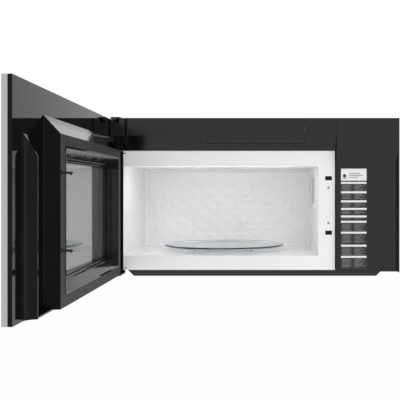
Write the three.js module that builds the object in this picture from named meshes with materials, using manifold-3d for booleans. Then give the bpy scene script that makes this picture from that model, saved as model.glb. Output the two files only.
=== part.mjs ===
// Over the range microwave oven, hung on a wall above a cooktop, with its full-width door standing open
// at a right angle. Millimetres. X runs to the right, Y from the door towards the wall, Z up. The origin
// is on the wall plate's rear face, half way up the cabinet.
import * as THREE from "three";
import { mergeVertices, toCreasedNormals } from "three/addons/utils/BufferGeometryUtils.js";
import Module from "manifold-3d";

const wasm = await Module();
wasm.setup();

// ---- Driving dimensions: cabinet ----
const bodyWidth = 759;
const bodyHeight = 417.5;
const bodyDepth = 380; // from the wall to the oven's white front face
const sheet = 1; // cabinet steel
const clearance = 0.4; // between pieces that touch
const plateThickness = 2; // wall plate
const skirtHeight = 16; // bottom pan, from the lowest point to the oven face's lower edge
const skirtInset = 41; // pan's side, in from the cabinet's side
const skirtChamfer = 16; // how far the pan's side leans in towards its foot
const panWall = 1.2;
const wrapLift = 12.4; // cabinet sides' lower edge above the pan's foot

// ---- Driving dimensions: oven ----
const cavityWall = 1.2;
const cavityMargin = 45.2; // cavity's right wall to the oven face's right edge
const cavityDrop = 125.3; // cavity ceiling below the cabinet's top
const cavityBehind = 14; // space between the cavity and the wall
const cavityInset = 29; // cavity's left wall, in from the cabinet's side
const floorHeight = 53.7; // cavity floor above the pan's foot
const backTaper = 9; // slope that joins the back wall to the others
const faceInset = 11; // oven face's left edge, in from the cabinet's side
const bandHeight = 84.8; // from the cabinet's top to the oven face's upper edge
const columnWidth = 166.8; // right column, from the oven face to the cabinet's side
const columnSeam = 2.5; // dark joint between the oven face and the column

// ---- Driving dimensions: front mouldings ----
const moulding = 3; // plastic wall
const bandForward = 28; // band and column stand this far in front of the oven face
const ledgeHeight = 38.3; // slanted underside of the band
const columnRecess = 19; // lower column lies this far behind the upper one
const columnSlope = 37; // height of the slant between the two
const rimWidth = 3; // upright rim at the column's outer side
const pillarInset = 8.5; // band's left end, in from the cabinet's side
const accessWidth = 273.4; // filter access panel
const accessShift = -5.9; // its middle, from the cabinet's middle
const accessDrop = 65.6; // its lower edge below the cabinet's top
const accessGap = 0.8;

// ---- Driving dimensions: door ----
const hingeInset = 9.3; // hinge axis, in from the cabinet's side
const hingeForward = 22; // hinge axis in front of the oven face
const doorFoot = 6.3; // door's lower edge above the pan's foot
const doorDrop = 1.9; // door's upper edge below the cabinet's top
const doorFront = 29.2; // door's front, in front of the hinge axis
const frameDepth = 10; // stainless frame
const backDepth = 7.4; // black back cover
const doorGap = 4; // inner block to the oven face, door shut
const doorSeam = 0.6; // joint between the back cover and the end cover
const glassDepth = 4;
const frameBorder = 26; // stainless border round the front glass
const frameLip = 9; // ledge the front glass lies on
const blockHingeEdge = 8; // inner block's hinge side, from the hinge axis
const blockCover = 9.6; // oven face's right edge beyond the block's outer side
const blockSideRun = 10; // slant of the block's outer side
const blockTopRun = 33.7; // slant of the block's top
const blockWall = 2.5;
const windowHingeEdge = 35; // window recess, from the hinge axis
const windowFreeEdge = 36; // window recess, in from the block's outer side
const windowTopEdge = 24.6; // below the block's upper edge
const windowFootEdge = 27.3; // above the block's foot
const windowSlope = 24; // how far the recess narrows towards the glass
const windowStep = 2.4; // small step round the inner glass
const innerGlassDepth = 3.2;
const screenDepth = 0.8;
const finInset = 73.5; // fin, in from the door's free end
const finDepth = 19.3; // how far it stands off the end cover
const finThickness = 3;
const finFlare = 22; // width of the curved foot on its outer side
const finTopLow = 285.8; // top of its outer edge above the pan's foot
const finTopRise = 37.2; // its slanted top end
const ledgeDepth = 17.4; // shelf along the door's foot, beside the fin
const ledgeThickness = 3;

// ---- Driving dimensions: latch ----
const slotInset = 16.8; // latch slots, in from the oven face's right edge
const slotWidth = 18;
const slotHeight = 11;
const slotDrop = 72.7; // upper slot below the oven face's upper edge
const slotLower = 115; // lower slot above the pan's foot
const hookReach = 21.6; // hooks stand this far out of the block
const hookHeight = 4.4;
const hookWidth = 4;
const hookBarb = 2;
const hookTravel = 2.5;
const leverDepth = 10;
const leverWidth = 11;
const leverBeyond = 2.2; // lever's outer edge, beyond the hooks' middle
const springRadius = 3.4;
const springWire = 0.9;
const springHeight = 24;
const springCurls = 6;

// ---- Driving dimensions: hinges ----
const bracketThickness = 3;
const bracketReach = 9; // in front of the pin
const bracketWidth = 26;
const bracketSeat = 38; // length that lies on the cabinet
const hingeSeatDrop = 1; // the upper bracket is let into the cabinet's top by this
const pinRadius = 3.5;
const pinClearance = 0.3;
const hingePlate = 2.6;
const hingePlateLength = 60;
const hingePlateSkin = 1.6; // cover left in front of and behind the plate
const hingeArm = 6; // half the width of its arm

// ---- Driving dimensions: turntable ----
const trayMargin = 10.5; // between the tray's rim and the cavity's back wall
const trayThickness = 4;
const trayRim = 4.4;
const rollerRadius = 5.5;
const rollerWidth = 7;
const rollerCircle = 92;
const rollerCount = 3;
const couplerRadius = 9;
const shaftRadius = 4;
const turntableMotorRadius = 25;
const turntableMotorHeight = 15;

// ---- Driving dimensions: vent and cooling ----
const wheelRadius = 42;
const wheelWidth = 58;
const wheelBlades = 18;
const wheelBladeDepth = 9;
const wheelBladeThickness = 1.4;
const scrollWall = 1.6;
const scrollClearance = 7;
const blowerMotorRadius = 34;
const blowerMotorLength = 78;
const blowerShaftRadius = 4;
const blowerGap = 6; // motor to scroll housing
const outletWidth = 232;
const outletDepth = 84;
const outletBack = 48; // exhaust outlet's rear edge, in front of the wall
const fanRadius = 50;
const fanBlades = 5;
const fanShroudSize = 116;
const fanShroudDepth = 26;
const fanHub = 15;
const charcoalWidth = 250;
const charcoalThickness = 12;
const greaseWidth = 270;
const greaseDepth = 132;
const greaseThickness = 3;
const greaseFrame = 9;
const lensWidth = 62;
const lensDepth = 40;
const lensThickness = 3;
const lensSpread = 215; // lamps, out from the middle
const lampRadius = 14;
const glandRadius = 14;
const glandBore = 8.5;
const glandInset = 48;

// ---- Driving dimensions: microwave source and electronics ----
const guideWidth = 38;
const guideLength = 96;
const guideHeight = 88;
const guideWall = 1.2;
const guideBack = 142; // waveguide's rear end, in front of the wall
const guideDrop = 22.5; // its top below the cavity's ceiling
const portMargin = 16; // opening into the cavity, inside the waveguide's outline
const micaThickness = 0.8;
const magnetronWidth = 84;
const magnetronLength = 88;
const magnetronHeight = 78;
const magnetronFins = 6;
const antennaRadius = 8;
const antennaReach = 22;
const transformerWidth = 96;
const transformerLength = 88;
const transformerHeight = 76;
const transformerGap = 14; // to the cavity
const capacitorWidth = 32;
const capacitorLength = 52;
const capacitorHeight = 92;
const boardThickness = 1.6;
const boardSide = 10; // control board's edge, in from the cabinet's side
const relayWidth = 22;
const relayPitch = 34;
const relayHeight = 30;
const relayDepth = 16;
const relayInset = 12;
const relayLift = 14;
const supplyWidth = 50;
const supplyHeight = 44;
const supplyDepth = 22;
const supplyInset = 20;
const supplyDrop = 16;
const boardWidth = 126;
const boardHeight = 176;
const boardSetback = 12;
const latchBoardDepth = 34;
const latchBoardWall = 2;
const latchBoardEnd = 22; // latch board's ends beyond the slots
const latchPocketRise = 9;
const latchPocketDepth = 26;
const latchRelief = 16; // from a slot to the hollow between the slots
const switchCount = 3;
const switchInset = 3;
const switchRise = 8;
const switchDepth = 10;
const stripInset = 8;
const stripThickness = 2;
const stripRecess = 1;
const touchMargin = 24; // touch board, in from the end cover's edges
const touchEnd = 80; // touch board's ends, in from the door's
const touchBehind = 3.4; // its front, in front of the frame's rear face
const displayInset = 10;
const displayHeight = 30;
const displayDepth = 2;
const fanMotorMargin = 4;
const fanArm = 10;
const fanArmThickness = 3;
const lampHousing = 34;

// ---- Levels and planes worked out from them ----
const top = bodyHeight / 2;
const foot = -bodyHeight / 2;
const left = -bodyWidth / 2;
const right = bodyWidth / 2;
const facePlane = -bodyDepth;
const frontPlane = facePlane - bandForward;
const faceLow = foot + skirtHeight;
const faceHigh = top - bandHeight;
const faceLeft = left + faceInset;
const faceRight = right - columnWidth;
const columnLeft = faceRight + columnSeam;
const columnFoot = foot + wrapLift;
const cavityLeft = left + cavityInset;
const cavityRight = faceRight - cavityMargin;
const cavityFloor = foot + floorHeight;
const cavityCeiling = top - cavityDrop;
const cavityBack = -cavityBehind;
const wrapBack = -plateThickness - clearance;
const hingeX = left + hingeInset;
const hingeY = facePlane - hingeForward;
const slotX = faceRight - slotInset;
const slotLevels = [faceHigh - slotDrop, foot + slotLower];
const trayX = (cavityLeft + cavityRight) / 2;
const trayY = (facePlane + cavityBack) / 2;
const trayRadius = (cavityBack - facePlane) / 2 - trayMargin;

// ---- Solids ----
const vertical = new THREE.Matrix4();
const alongX = new THREE.Matrix4().makeBasis(
  new THREE.Vector3(0, 1, 0),
  new THREE.Vector3(0, 0, 1),
  new THREE.Vector3(1, 0, 0),
);
const alongY = new THREE.Matrix4().makeBasis(
  new THREE.Vector3(1, 0, 0),
  new THREE.Vector3(0, 0, 1),
  new THREE.Vector3(0, -1, 0),
);

function solidOf(geometry) {
  const bare = new THREE.BufferGeometry();
  bare.setAttribute("position", geometry.getAttribute("position"));
  bare.setIndex(geometry.index);
  const merged = mergeVertices(bare, 1e-3);
  const vertProperties = merged.getAttribute("position").array;
  const triVerts = new Uint32Array(merged.index.array);
  return new wasm.Manifold(new wasm.Mesh({ numProp: 3, vertProperties, triVerts }));
}

function box(x0, x1, y0, y1, z0, z1) {
  const geometry = new THREE.BoxGeometry(x1 - x0, y1 - y0, z1 - z0);
  geometry.translate((x0 + x1) / 2, (y0 + y1) / 2, (z0 + z1) / 2);
  return solidOf(geometry);
}

// A block whose section changes from one rectangle to another along Y.
function taperedBox(nearY, near, farY, far) {
  const geometry = new THREE.BoxGeometry(1, 1, 1);
  const place = geometry.getAttribute("position");
  for (let i = 0; i < place.count; i += 1) {
    const section = place.getY(i) < 0 ? near : far;
    const x = place.getX(i) < 0 ? section.x0 : section.x1;
    const z = place.getZ(i) < 0 ? section.z0 : section.z1;
    place.setXYZ(i, x, place.getY(i) < 0 ? nearY : farY, z);
  }
  return solidOf(geometry);
}

function outline(points) {
  return new THREE.Shape(points.map(([u, v]) => new THREE.Vector2(u, v)));
}

function extrude(shape, length, curveSegments = 4) {
  return new THREE.ExtrudeGeometry(shape, { depth: length, bevelEnabled: false, curveSegments });
}

// Prisms of a (y, z), an (x, z) and an (x, y) outline.
function prismX(shape, x0, x1, curveSegments) {
  const geometry = extrude(shape, x1 - x0, curveSegments).applyMatrix4(alongX);
  return solidOf(geometry.translate(x0, 0, 0));
}

function prismY(shape, y0, y1, curveSegments) {
  const geometry = extrude(shape, y1 - y0, curveSegments).applyMatrix4(alongY);
  return solidOf(geometry.translate(0, y1, 0));
}

function prismZ(shape, z0, z1, curveSegments) {
  const geometry = extrude(shape, z1 - z0, curveSegments).applyMatrix4(vertical);
  return solidOf(geometry.translate(0, 0, z0));
}

function circle(u, v, radius, sides) {
  const points = [];
  for (let i = 0; i < sides; i += 1) {
    const angle = (2 * Math.PI * (i + 0.5)) / sides;
    points.push([u + radius * Math.cos(angle), v + radius * Math.sin(angle)]);
  }
  return outline(points);
}

function roundedRectangle(u0, u1, v0, v1, radius) {
  const shape = new THREE.Shape();
  shape.absarc(u1 - radius, v1 - radius, radius, 0, Math.PI / 2);
  shape.absarc(u0 + radius, v1 - radius, radius, Math.PI / 2, Math.PI);
  shape.absarc(u0 + radius, v0 + radius, radius, Math.PI, 1.5 * Math.PI);
  shape.absarc(u1 - radius, v0 + radius, radius, 1.5 * Math.PI, 2 * Math.PI);
  return shape;
}

function union(...solids) {
  return solids.reduce((whole, piece) => whole.add(piece));
}

function cut(solid, ...tools) {
  return tools.reduce((rest, tool) => rest.subtract(tool), solid);
}

const plain = (color, roughness, metalness = 0) =>
  new THREE.MeshStandardMaterial({ color, roughness, metalness });
const finish = {
  black: plain(0x15161a, 0.25),
  blackMatte: plain(0x1b1b1d, 0.6),
  stainless: plain(0xb9bbbd, 0.32, 0.9),
  galvanized: plain(0x9da3a6, 0.45, 0.8),
  enamel: plain(0xe8e9ea, 0.3),
  glass: plain(0x0b0c0d, 0.06),
  clearGlass: plain(0xd5e0e2, 0.05),
  copper: plain(0xa65b2c, 0.4, 0.7),
  board: plain(0x2d6b45, 0.6),
  white: plain(0xeeeeea, 0.5),
  mica: plain(0xc9c0a8, 0.7),
  charcoal: plain(0x2b2b2b, 0.9),
  aluminium: plain(0xc4c6c8, 0.35, 0.9),
};

const crease = 0.6; // edges sharper than this angle look sharp
const group = new THREE.Group();
const door = new THREE.Group();
door.position.set(hingeX, hingeY, 0);
door.rotation.z = -Math.PI / 2;
group.add(door);

function add(parent, name, solid, material) {
  const made = solid.getMesh();
  const geometry = new THREE.BufferGeometry();
  geometry.setAttribute("position", new THREE.BufferAttribute(made.vertProperties, 3));
  geometry.setIndex(new THREE.BufferAttribute(made.triVerts, 1));
  const mesh = new THREE.Mesh(toCreasedNormals(geometry, crease), material);
  mesh.name = name;
  parent.add(mesh);
  return mesh;
}

// ---- Cabinet ----
const panelBack = wrapBack - sheet;
const innerRight = right - sheet - clearance;
const innerLeft = left + sheet + clearance;

function wallPlate() {
  const margin = 30;
  const slot = 30;
  const plate = box(left + margin, right - margin, -plateThickness, 0, foot + margin, top - margin);
  const windows = [-1, 1].map((side) => {
    const middle = (side * bodyWidth) / 4;
    return box(middle - slot, middle + slot, -plateThickness - 1, 1, -slot, slot);
  });
  return cut(plate, ...windows);
}

function backPanel() {
  return box(innerLeft, innerRight, panelBack, wrapBack, foot + wrapLift + sheet, top - sheet - clearance);
}

const outletX0 = -outletWidth / 2;
const outletX1 = outletWidth / 2;
const outletY1 = -outletBack;
const outletY0 = outletY1 - outletDepth;
const glandX = right - glandInset;
const glandY = -glandInset;

function outerWrap() {
  const front = facePlane + clearance;
  const shell = box(left, right, front, wrapBack, columnFoot, top);
  const inside = box(left + sheet, right - sheet, front - 1, 1, columnFoot - 1, top - sheet);
  const outlet = box(outletX0, outletX1, outletY0, outletY1, top - sheet - 1, top + 1);
  const hole = glandRadius - glandInsetRing;
  const inlet = box(glandX - hole, glandX + hole, glandY - hole, glandY + hole, top - sheet - 1, top + 1);
  const returns = [
    box(left, faceLeft - clearance, front, front + sheet, columnFoot, top),
    box(right - faceInset, right, front, front + sheet, columnFoot, top),
  ];
  const seatFloor = box(
    left,
    bracketX1 + clearance + sheet,
    front,
    facePlane + bracketSeat + clearance + sheet,
    top - hingeSeatDrop - sheet,
    top - hingeSeatDrop,
  );
  return union(cut(shell, inside, outlet, inlet), seatFloor, ...returns).subtract(hingeSeat());
}
const glandInsetRing = 3;
const bracketX0 = hingeX - bracketReach + 1;
const bracketX1 = bracketX0 + bracketWidth;

// The shallow recess in the cabinet's top and the band that the upper hinge bracket lies in.
function hingeSeat() {
  return box(
    left - 1,
    bracketX1 + clearance,
    hingeY - bracketReach - 1,
    facePlane + bracketSeat + clearance,
    top - hingeSeatDrop,
    top + 1,
  );
}

function cordGland() {
  const collar = 2.4;
  const flangeHigh = top - sheet - clearance;
  const low = flangeHigh - 2 * collar;
  const high = top + collar;
  const square = (half, corner) =>
    roundedRectangle(glandX - half, glandX + half, glandY - half, glandY + half, corner);
  const flange = prismZ(square(glandRadius, glandInsetRing), flangeHigh - collar, flangeHigh, 3);
  const neck = prismZ(square(glandRadius - glandInsetRing - clearance, 1), low, high, 2);
  const bore = prismZ(circle(glandX, glandY, glandBore, 16), low - 1, high + 1);
  return union(flange, neck).subtract(bore);
}

function panOutline(inset) {
  const side = right - skirtInset - inset;
  const low = side - skirtChamfer;
  return outline([
    [-low, foot + inset],
    [low, foot + inset],
    [side, faceLow - clearance],
    [-side, faceLow - clearance],
  ]);
}

const greaseX = [-1, 1].map((side) => side * (greaseWidth / 2 + greaseFrame));
const greaseY = (facePlane + panelBack) / 2;
const lensY = facePlane + lensDepth;

function bottomPan() {
  const front = facePlane + 1.5;
  const back = panelBack - clearance;
  const shell = prismY(panOutline(0), front, back);
  const inside = prismY(panOutline(panWall), front + panWall, back - panWall);
  const mouth = box(
    left + skirtInset + panWall,
    right - skirtInset - panWall,
    front + panWall,
    back - panWall,
    faceLow - 2 * panWall,
    faceLow + 1,
  );
  const hole = (x, y, width, depth) =>
    box(x - width / 2, x + width / 2, y - depth / 2, y + depth / 2, foot - 1, foot + 2 * panWall);
  const filters = greaseX.map((x) => hole(x, greaseY, greaseWidth, greaseDepth));
  const lenses = [-lensSpread, lensSpread].map((x) => hole(x, lensY, lensWidth, lensDepth));
  return cut(shell, inside, mouth, ...filters, ...lenses);
}

function greaseFilter(x) {
  const lip = 5;
  const low = foot + panWall + clearance;
  const pad = box(
    x - greaseWidth / 2 + clearance,
    x + greaseWidth / 2 - clearance,
    greaseY - greaseDepth / 2 + clearance,
    greaseY + greaseDepth / 2 - clearance,
    foot + clearance,
    low + greaseThickness,
  );
  const rim = box(
    x - greaseWidth / 2 - lip,
    x + greaseWidth / 2 + lip,
    greaseY - greaseDepth / 2 - lip,
    greaseY + greaseDepth / 2 + lip,
    low,
    low + greaseThickness,
  );
  const weave = box(
    x - greaseWidth / 2 + greaseFrame,
    x + greaseWidth / 2 - greaseFrame,
    greaseY - greaseDepth / 2 + greaseFrame,
    greaseY + greaseDepth / 2 - greaseFrame,
    foot - 1,
    foot + 2 * clearance,
  );
  return cut(union(pad, rim), weave);
}

function lightLens(x) {
  const lip = 4;
  const low = foot + panWall + clearance;
  const window = box(
    x - lensWidth / 2 + clearance,
    x + lensWidth / 2 - clearance,
    lensY - lensDepth / 2 + clearance,
    lensY + lensDepth / 2 - clearance,
    foot + clearance,
    low + lensThickness,
  );
  const rim = box(
    x - lensWidth / 2 - lip,
    x + lensWidth / 2 + lip,
    lensY - lensDepth / 2 - lip,
    lensY + lensDepth / 2 + lip,
    low,
    low + lensThickness,
  );
  return union(window, rim);
}

function cooktopLamp(x) {
  const low = foot + panWall + 2 * clearance + lensThickness;
  return prismZ(circle(x, lensY, lampRadius, 16), low, faceLow - clearance);
}

function basePlate() {
  const low = faceLow;
  const front = facePlane + 2 * cavityWall;
  const plate = box(innerLeft, innerRight, front, panelBack - clearance, low, low + sheet);
  const halfX = greaseWidth / 4;
  const halfY = greaseDepth / 4;
  const airways = greaseX.map((x) =>
    box(x - halfX, x + halfX, greaseY - halfY, greaseY + halfY, low - 1, low + sheet + 1),
  );
  return cut(plate, ...airways);
}

add(group, "wall_plate", wallPlate(), finish.galvanized);
add(group, "back_panel", backPanel(), finish.galvanized);
add(group, "outer_wrap", outerWrap(), finish.black);
add(group, "cord_gland", cordGland(), finish.blackMatte);
add(group, "bottom_pan", bottomPan(), finish.black);
add(group, "base_plate", basePlate(), finish.galvanized);
["left", "right"].forEach((side, i) => {
  const lampX = i === 0 ? -lensSpread : lensSpread;
  add(group, `grease_filter_${side}`, greaseFilter(greaseX[i]), finish.aluminium);
  add(group, `light_lens_${side}`, lightLens(lampX), finish.clearGlass);
  add(group, `cooktop_lamp_${side}`, cooktopLamp(lampX), finish.white);
});

// ---- Oven cavity ----
function cavityForm(grow, front) {
  const section = {
    x0: cavityLeft - grow,
    x1: cavityRight + grow,
    z0: cavityFloor - grow,
    z1: cavityCeiling + grow,
  };
  const narrowed = {
    x0: section.x0 + backTaper,
    x1: section.x1 - backTaper,
    z0: section.z0 + backTaper,
    z1: section.z1 - backTaper,
  };
  const bend = cavityBack - backTaper;
  const straight = box(section.x0, section.x1, front, bend, section.z0, section.z1);
  return straight.add(taperedBox(bend, section, cavityBack + grow, narrowed));
}

const guideX0 = cavityRight + cavityWall + clearance;
const guideY1 = -guideBack;
const guideY0 = guideY1 - guideLength;
const guideZ1 = cavityCeiling - guideDrop;
const guideZ0 = guideZ1 - guideHeight;

function guidePort(x0, x1) {
  return box(x0, x1, guideY0 + portMargin, guideY1 - portMargin, guideZ0 + portMargin, guideZ1 - portMargin);
}

function ovenCavity() {
  const flange = box(faceLeft, faceRight, facePlane, facePlane + cavityWall, faceLow, faceHigh);
  const shell = union(flange, cavityForm(cavityWall, facePlane));
  const slotSide = slotWidth / 2;
  const slotRise = slotHeight / 2;
  const slotBack = facePlane + 2 * cavityWall;
  const slots = slotLevels.map((z) =>
    box(slotX - slotSide, slotX + slotSide, facePlane - 1, slotBack, z - slotRise, z + slotRise),
  );
  const shaftLow = cavityFloor - 2 * cavityWall;
  const shaftHole = prismZ(circle(trayX, trayY, shaftRadius + 2, 12), shaftLow, cavityFloor + 1);
  const port = guidePort(cavityRight - 1, cavityRight + 2 * cavityWall);
  return cut(shell, cavityForm(0, facePlane - 1), shaftHole, port, ...slots);
}

function waveguideCover() {
  const lip = 8;
  const x1 = cavityRight - clearance;
  return box(
    x1 - micaThickness,
    x1,
    guideY0 + portMargin - lip,
    guideY1 - portMargin + lip,
    guideZ0 + portMargin - lip,
    guideZ1 - portMargin + lip,
  );
}

add(group, "oven_cavity", ovenCavity(), finish.enamel);
add(group, "waveguide_cover", waveguideCover(), finish.mica);

// ---- Front mouldings ----
const ledgeTop = faceHigh + ledgeHeight;
const bandLeft = left + pillarInset;
const accessMiddle = accessShift;
const accessLow = top - accessDrop;
const notchSize = 14;

// Outline of the band in (y, z): front wall and slanted ledge, drawn in by a wall's thickness for its hollow.
function bandOutline(inset, back) {
  const drop = inset * (ledgeHeight / bandForward);
  return outline([
    [back, top - inset],
    [frontPlane + inset, top - inset],
    [frontPlane + inset, ledgeTop + drop / 3],
    [facePlane - clearance, faceHigh + drop + inset / 2],
    [back, faceHigh + drop + inset / 2],
  ]);
}

function accessCutter(grow) {
  const half = accessWidth / 2 + grow;
  const corner = 6;
  const x0 = accessMiddle - half;
  const x1 = accessMiddle + half;
  const shape = roundedRectangle(x0, x1, accessLow - grow, top + half, corner);
  return prismY(shape, frontPlane - 1, facePlane, 3);
}

function bandShell(x0, x1) {
  const back = facePlane - clearance;
  const solid = prismX(bandOutline(0, back), x0, x1);
  const hollow = prismX(bandOutline(moulding, back + 1), x0 + moulding, x1 - moulding);
  return solid.subtract(hollow);
}

function topFascia() {
  const topWall = box(left, right, frontPlane - 1, facePlane, top - moulding, top + 1);
  const opening = accessCutter(accessGap).subtract(topWall);
  const notch = box(left, hingeX + notchSize, frontPlane - 1, hingeY + notchSize, top - notchSize, top + 1);
  return cut(bandShell(bandLeft, columnLeft - accessGap), opening, notch, hingeSeat());
}

function filterAccessPanel() {
  const back = facePlane - clearance;
  const half = accessWidth / 2 + 1;
  const solid = prismX(bandOutline(0, back), accessMiddle - half, accessMiddle + half);
  const hollow = prismX(bandOutline(moulding, back + 1), left, right);
  const topWall = box(left, right, frontPlane - 1, facePlane, top - moulding - clearance, top + 1);
  return cut(solid, hollow, topWall).intersect(accessCutter(0));
}

const slopeHigh = faceHigh;
const slopeLow = slopeHigh - columnSlope;
const recessPlane = frontPlane + columnRecess;

function columnOutline(inset, back) {
  const low = columnFoot + inset;
  return outline([
    [back, top - inset],
    [frontPlane + inset, top - inset],
    [frontPlane + inset, slopeHigh + inset / 2],
    [recessPlane + inset, slopeLow + inset / 2],
    [recessPlane + inset, low],
    [back, low],
  ]);
}

function sideFascia() {
  const back = facePlane - clearance;
  const solid = prismX(columnOutline(0, back), columnLeft, right);
  const hollow = prismX(columnOutline(moulding, back + 1), columnLeft + moulding, right - moulding);
  const rim = box(right - rimWidth, right, frontPlane, back, columnFoot, slopeHigh);
  return solid.subtract(hollow).add(rim);
}

add(group, "top_fascia", topFascia(), finish.black);
add(group, "filter_access_panel", filterAccessPanel(), finish.black);
add(group, "side_fascia", sideFascia(), finish.black);

// ---- Hinges on the cabinet ----
function hingeBracket(low) {
  const high = low + bracketThickness;
  const plate = box(bracketX0, bracketX1, hingeY - bracketReach, facePlane + bracketSeat, low, high);
  return plate.subtract(prismZ(circle(hingeX, hingeY, pinRadius + pinClearance, 16), low - 1, high + 1));
}
const topBracketLow = top - hingeSeatDrop + clearance;
const footBracketLow = foot + doorFoot - clearance - bracketThickness;

function footBracket() {
  const riser = box(
    bracketX0,
    bracketX1,
    facePlane + bracketSeat - bracketThickness,
    facePlane + bracketSeat,
    footBracketLow,
    faceLow - clearance,
  );
  return hingeBracket(footBracketLow).add(riser);
}
add(group, "hinge_bracket_top", hingeBracket(topBracketLow), finish.blackMatte);
add(group, "hinge_bracket_bottom", footBracket(), finish.blackMatte);

// ---- Turntable ----
const rollerLevel = cavityFloor + rollerRadius + 0.1;
const trayLevel = rollerLevel + rollerRadius + 0.1;

function glassTray() {
  const profile = [
    [0, trayLevel],
    [trayRadius - 12, trayLevel],
    [trayRadius - 3, trayLevel + trayRim],
    [trayRadius, trayLevel + trayRim],
    [trayRadius, trayLevel + trayRim + trayThickness - 1],
    [trayRadius - 5, trayLevel + trayRim + trayThickness],
    [trayRadius - 16, trayLevel + trayThickness],
    [0, trayLevel + trayThickness],
  ].map(([r, z]) => new THREE.Vector2(r, z));
  const disc = new THREE.LatheGeometry(profile, 48).rotateX(Math.PI / 2);
  return solidOf(disc.translate(trayX, trayY, 0));
}

const hubInner = couplerRadius + 6;
const hubOuter = hubInner + 6;

function turntableCoupler() {
  const lobes = [];
  for (let i = 0; i < 3; i += 1) {
    const angle = (2 * Math.PI * i) / 3;
    const u = trayX + (couplerRadius - 3) * Math.cos(angle);
    const v = trayY + (couplerRadius - 3) * Math.sin(angle);
    lobes.push(prismZ(circle(u, v, 3, 10), cavityFloor + 1.5, trayLevel - clearance));
  }
  const hub = prismZ(circle(trayX, trayY, couplerRadius - 3, 14), cavityFloor + 1.5, trayLevel - clearance);
  const stem = prismZ(circle(trayX, trayY, shaftRadius, 10), motorHigh + clearance, cavityFloor + 1.5);
  return union(hub, stem, ...lobes);
}
const motorHigh = cavityFloor - cavityWall - clearance;

function turntableMotor() {
  const low = motorHigh - turntableMotorHeight;
  const can = prismZ(circle(trayX, trayY, turntableMotorRadius, 20), low, motorHigh);
  const ear = 9;
  const reach = turntableMotorRadius + ear;
  const y0 = trayY - ear / 2;
  const flange = box(trayX - reach, trayX + reach, y0, y0 + ear, motorHigh - sheet, motorHigh);
  return union(can, flange);
}

function onRollerCircle(i, radius) {
  const angle = (2 * Math.PI * i) / rollerCount + Math.PI / 2;
  return [radius * Math.cos(angle), radius * Math.sin(angle), angle];
}

function rollerRing() {
  const low = rollerLevel - 2;
  const high = rollerLevel + 2;
  const ring = prismZ(circle(trayX, trayY, hubOuter, 20), low, high);
  const arms = [];
  for (let i = 0; i < rollerCount; i += 1) {
    const [, , angle] = onRollerCircle(i, rollerCircle);
    const inner = rollerCircle - rollerWidth / 2 - 1;
    const arm = new THREE.BoxGeometry(inner - hubInner, 8, high - low);
    arm.translate((inner + hubInner) / 2, 0, rollerLevel).rotateZ(angle);
    const axle = new THREE.BoxGeometry(rollerWidth + 3, 2.4, 2.4);
    axle.translate(rollerCircle, 0, rollerLevel).rotateZ(angle);
    arms.push(solidOf(arm.translate(trayX, trayY, 0)), solidOf(axle.translate(trayX, trayY, 0)));
  }
  const bore = prismZ(circle(trayX, trayY, hubInner, 20), low - 1, high + 1);
  return union(ring.subtract(bore), ...arms);
}

function roller(i) {
  const [u, v, angle] = onRollerCircle(i, rollerCircle);
  const wheel = prismX(circle(0, 0, rollerRadius, 16), -rollerWidth / 2, rollerWidth / 2);
  const bore = prismX(circle(0, 0, 2.1, 8), -rollerWidth, rollerWidth);
  const turned = wheel.subtract(bore).rotate([0, 0, (angle * 180) / Math.PI]);
  return turned.translate([trayX + u, trayY + v, rollerLevel]);
}

add(group, "glass_tray", glassTray(), finish.clearGlass);
add(group, "turntable_coupler", turntableCoupler(), finish.white);
add(group, "turntable_motor", turntableMotor(), finish.galvanized);
add(group, "roller_ring", rollerRing(), finish.white);
for (let i = 0; i < rollerCount; i += 1) {
  add(group, `roller_${i + 1}`, roller(i), finish.white);
}

// ---- Vent blower ----
const blowerHigh = top - sheet - 3;
const scrollRadius = wheelRadius + scrollClearance;
const blowerZ = blowerHigh - scrollRadius - scrollWall - 4;
const blowerY = panelBack - 6 - scrollWall - scrollRadius - scrollClearance;
const scrollInner = blowerMotorLength / 2 + blowerGap;
const scrollOuter = scrollInner + wheelWidth + 2 * (scrollWall + 3);

// A spiral wall that opens upwards into the exhaust outlet.
function scrollOutline(inset) {
  const points = [];
  const steps = 20;
  for (let i = 0; i <= steps; i += 1) {
    const share = i / steps;
    const angle = -Math.PI * 1.5 * share;
    const radius = scrollRadius + scrollClearance * share - inset;
    points.push([blowerY + radius * Math.cos(angle), blowerZ + radius * Math.sin(angle)]);
  }
  points.push([blowerY + inset, blowerHigh + (inset > 0 ? 1 : 0)]);
  points.push([blowerY + scrollRadius - inset, blowerHigh + (inset > 0 ? 1 : 0)]);
  return outline(points.reverse());
}

function scroll(x0, x1) {
  const shell = prismX(scrollOutline(0), x0, x1);
  const hollow = prismX(scrollOutline(scrollWall), x0 + scrollWall, x1 - scrollWall);
  const inlet = prismX(circle(blowerY, blowerZ, wheelRadius - wheelBladeDepth, 20), x0 - 1, x1 + 1);
  return cut(shell, hollow, inlet);
}

function blowerHousing() {
  const strut = 8;
  const bridge = box(
    -scrollInner - 1,
    scrollInner + 1,
    blowerY + scrollRadius - strut,
    blowerY + scrollRadius - strut / 2,
    blowerZ - strut,
    blowerZ + strut,
  );
  return union(scroll(-scrollOuter, -scrollInner), scroll(scrollInner, scrollOuter), bridge);
}

function blowerMotor() {
  const half = blowerMotorLength / 2;
  const can = prismX(circle(blowerY, blowerZ, blowerMotorRadius, 24), -half, half);
  const bore = prismX(circle(blowerY, blowerZ, blowerShaftRadius + clearance, 12), -half - 1, half + 1);
  return can.subtract(bore);
}

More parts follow.
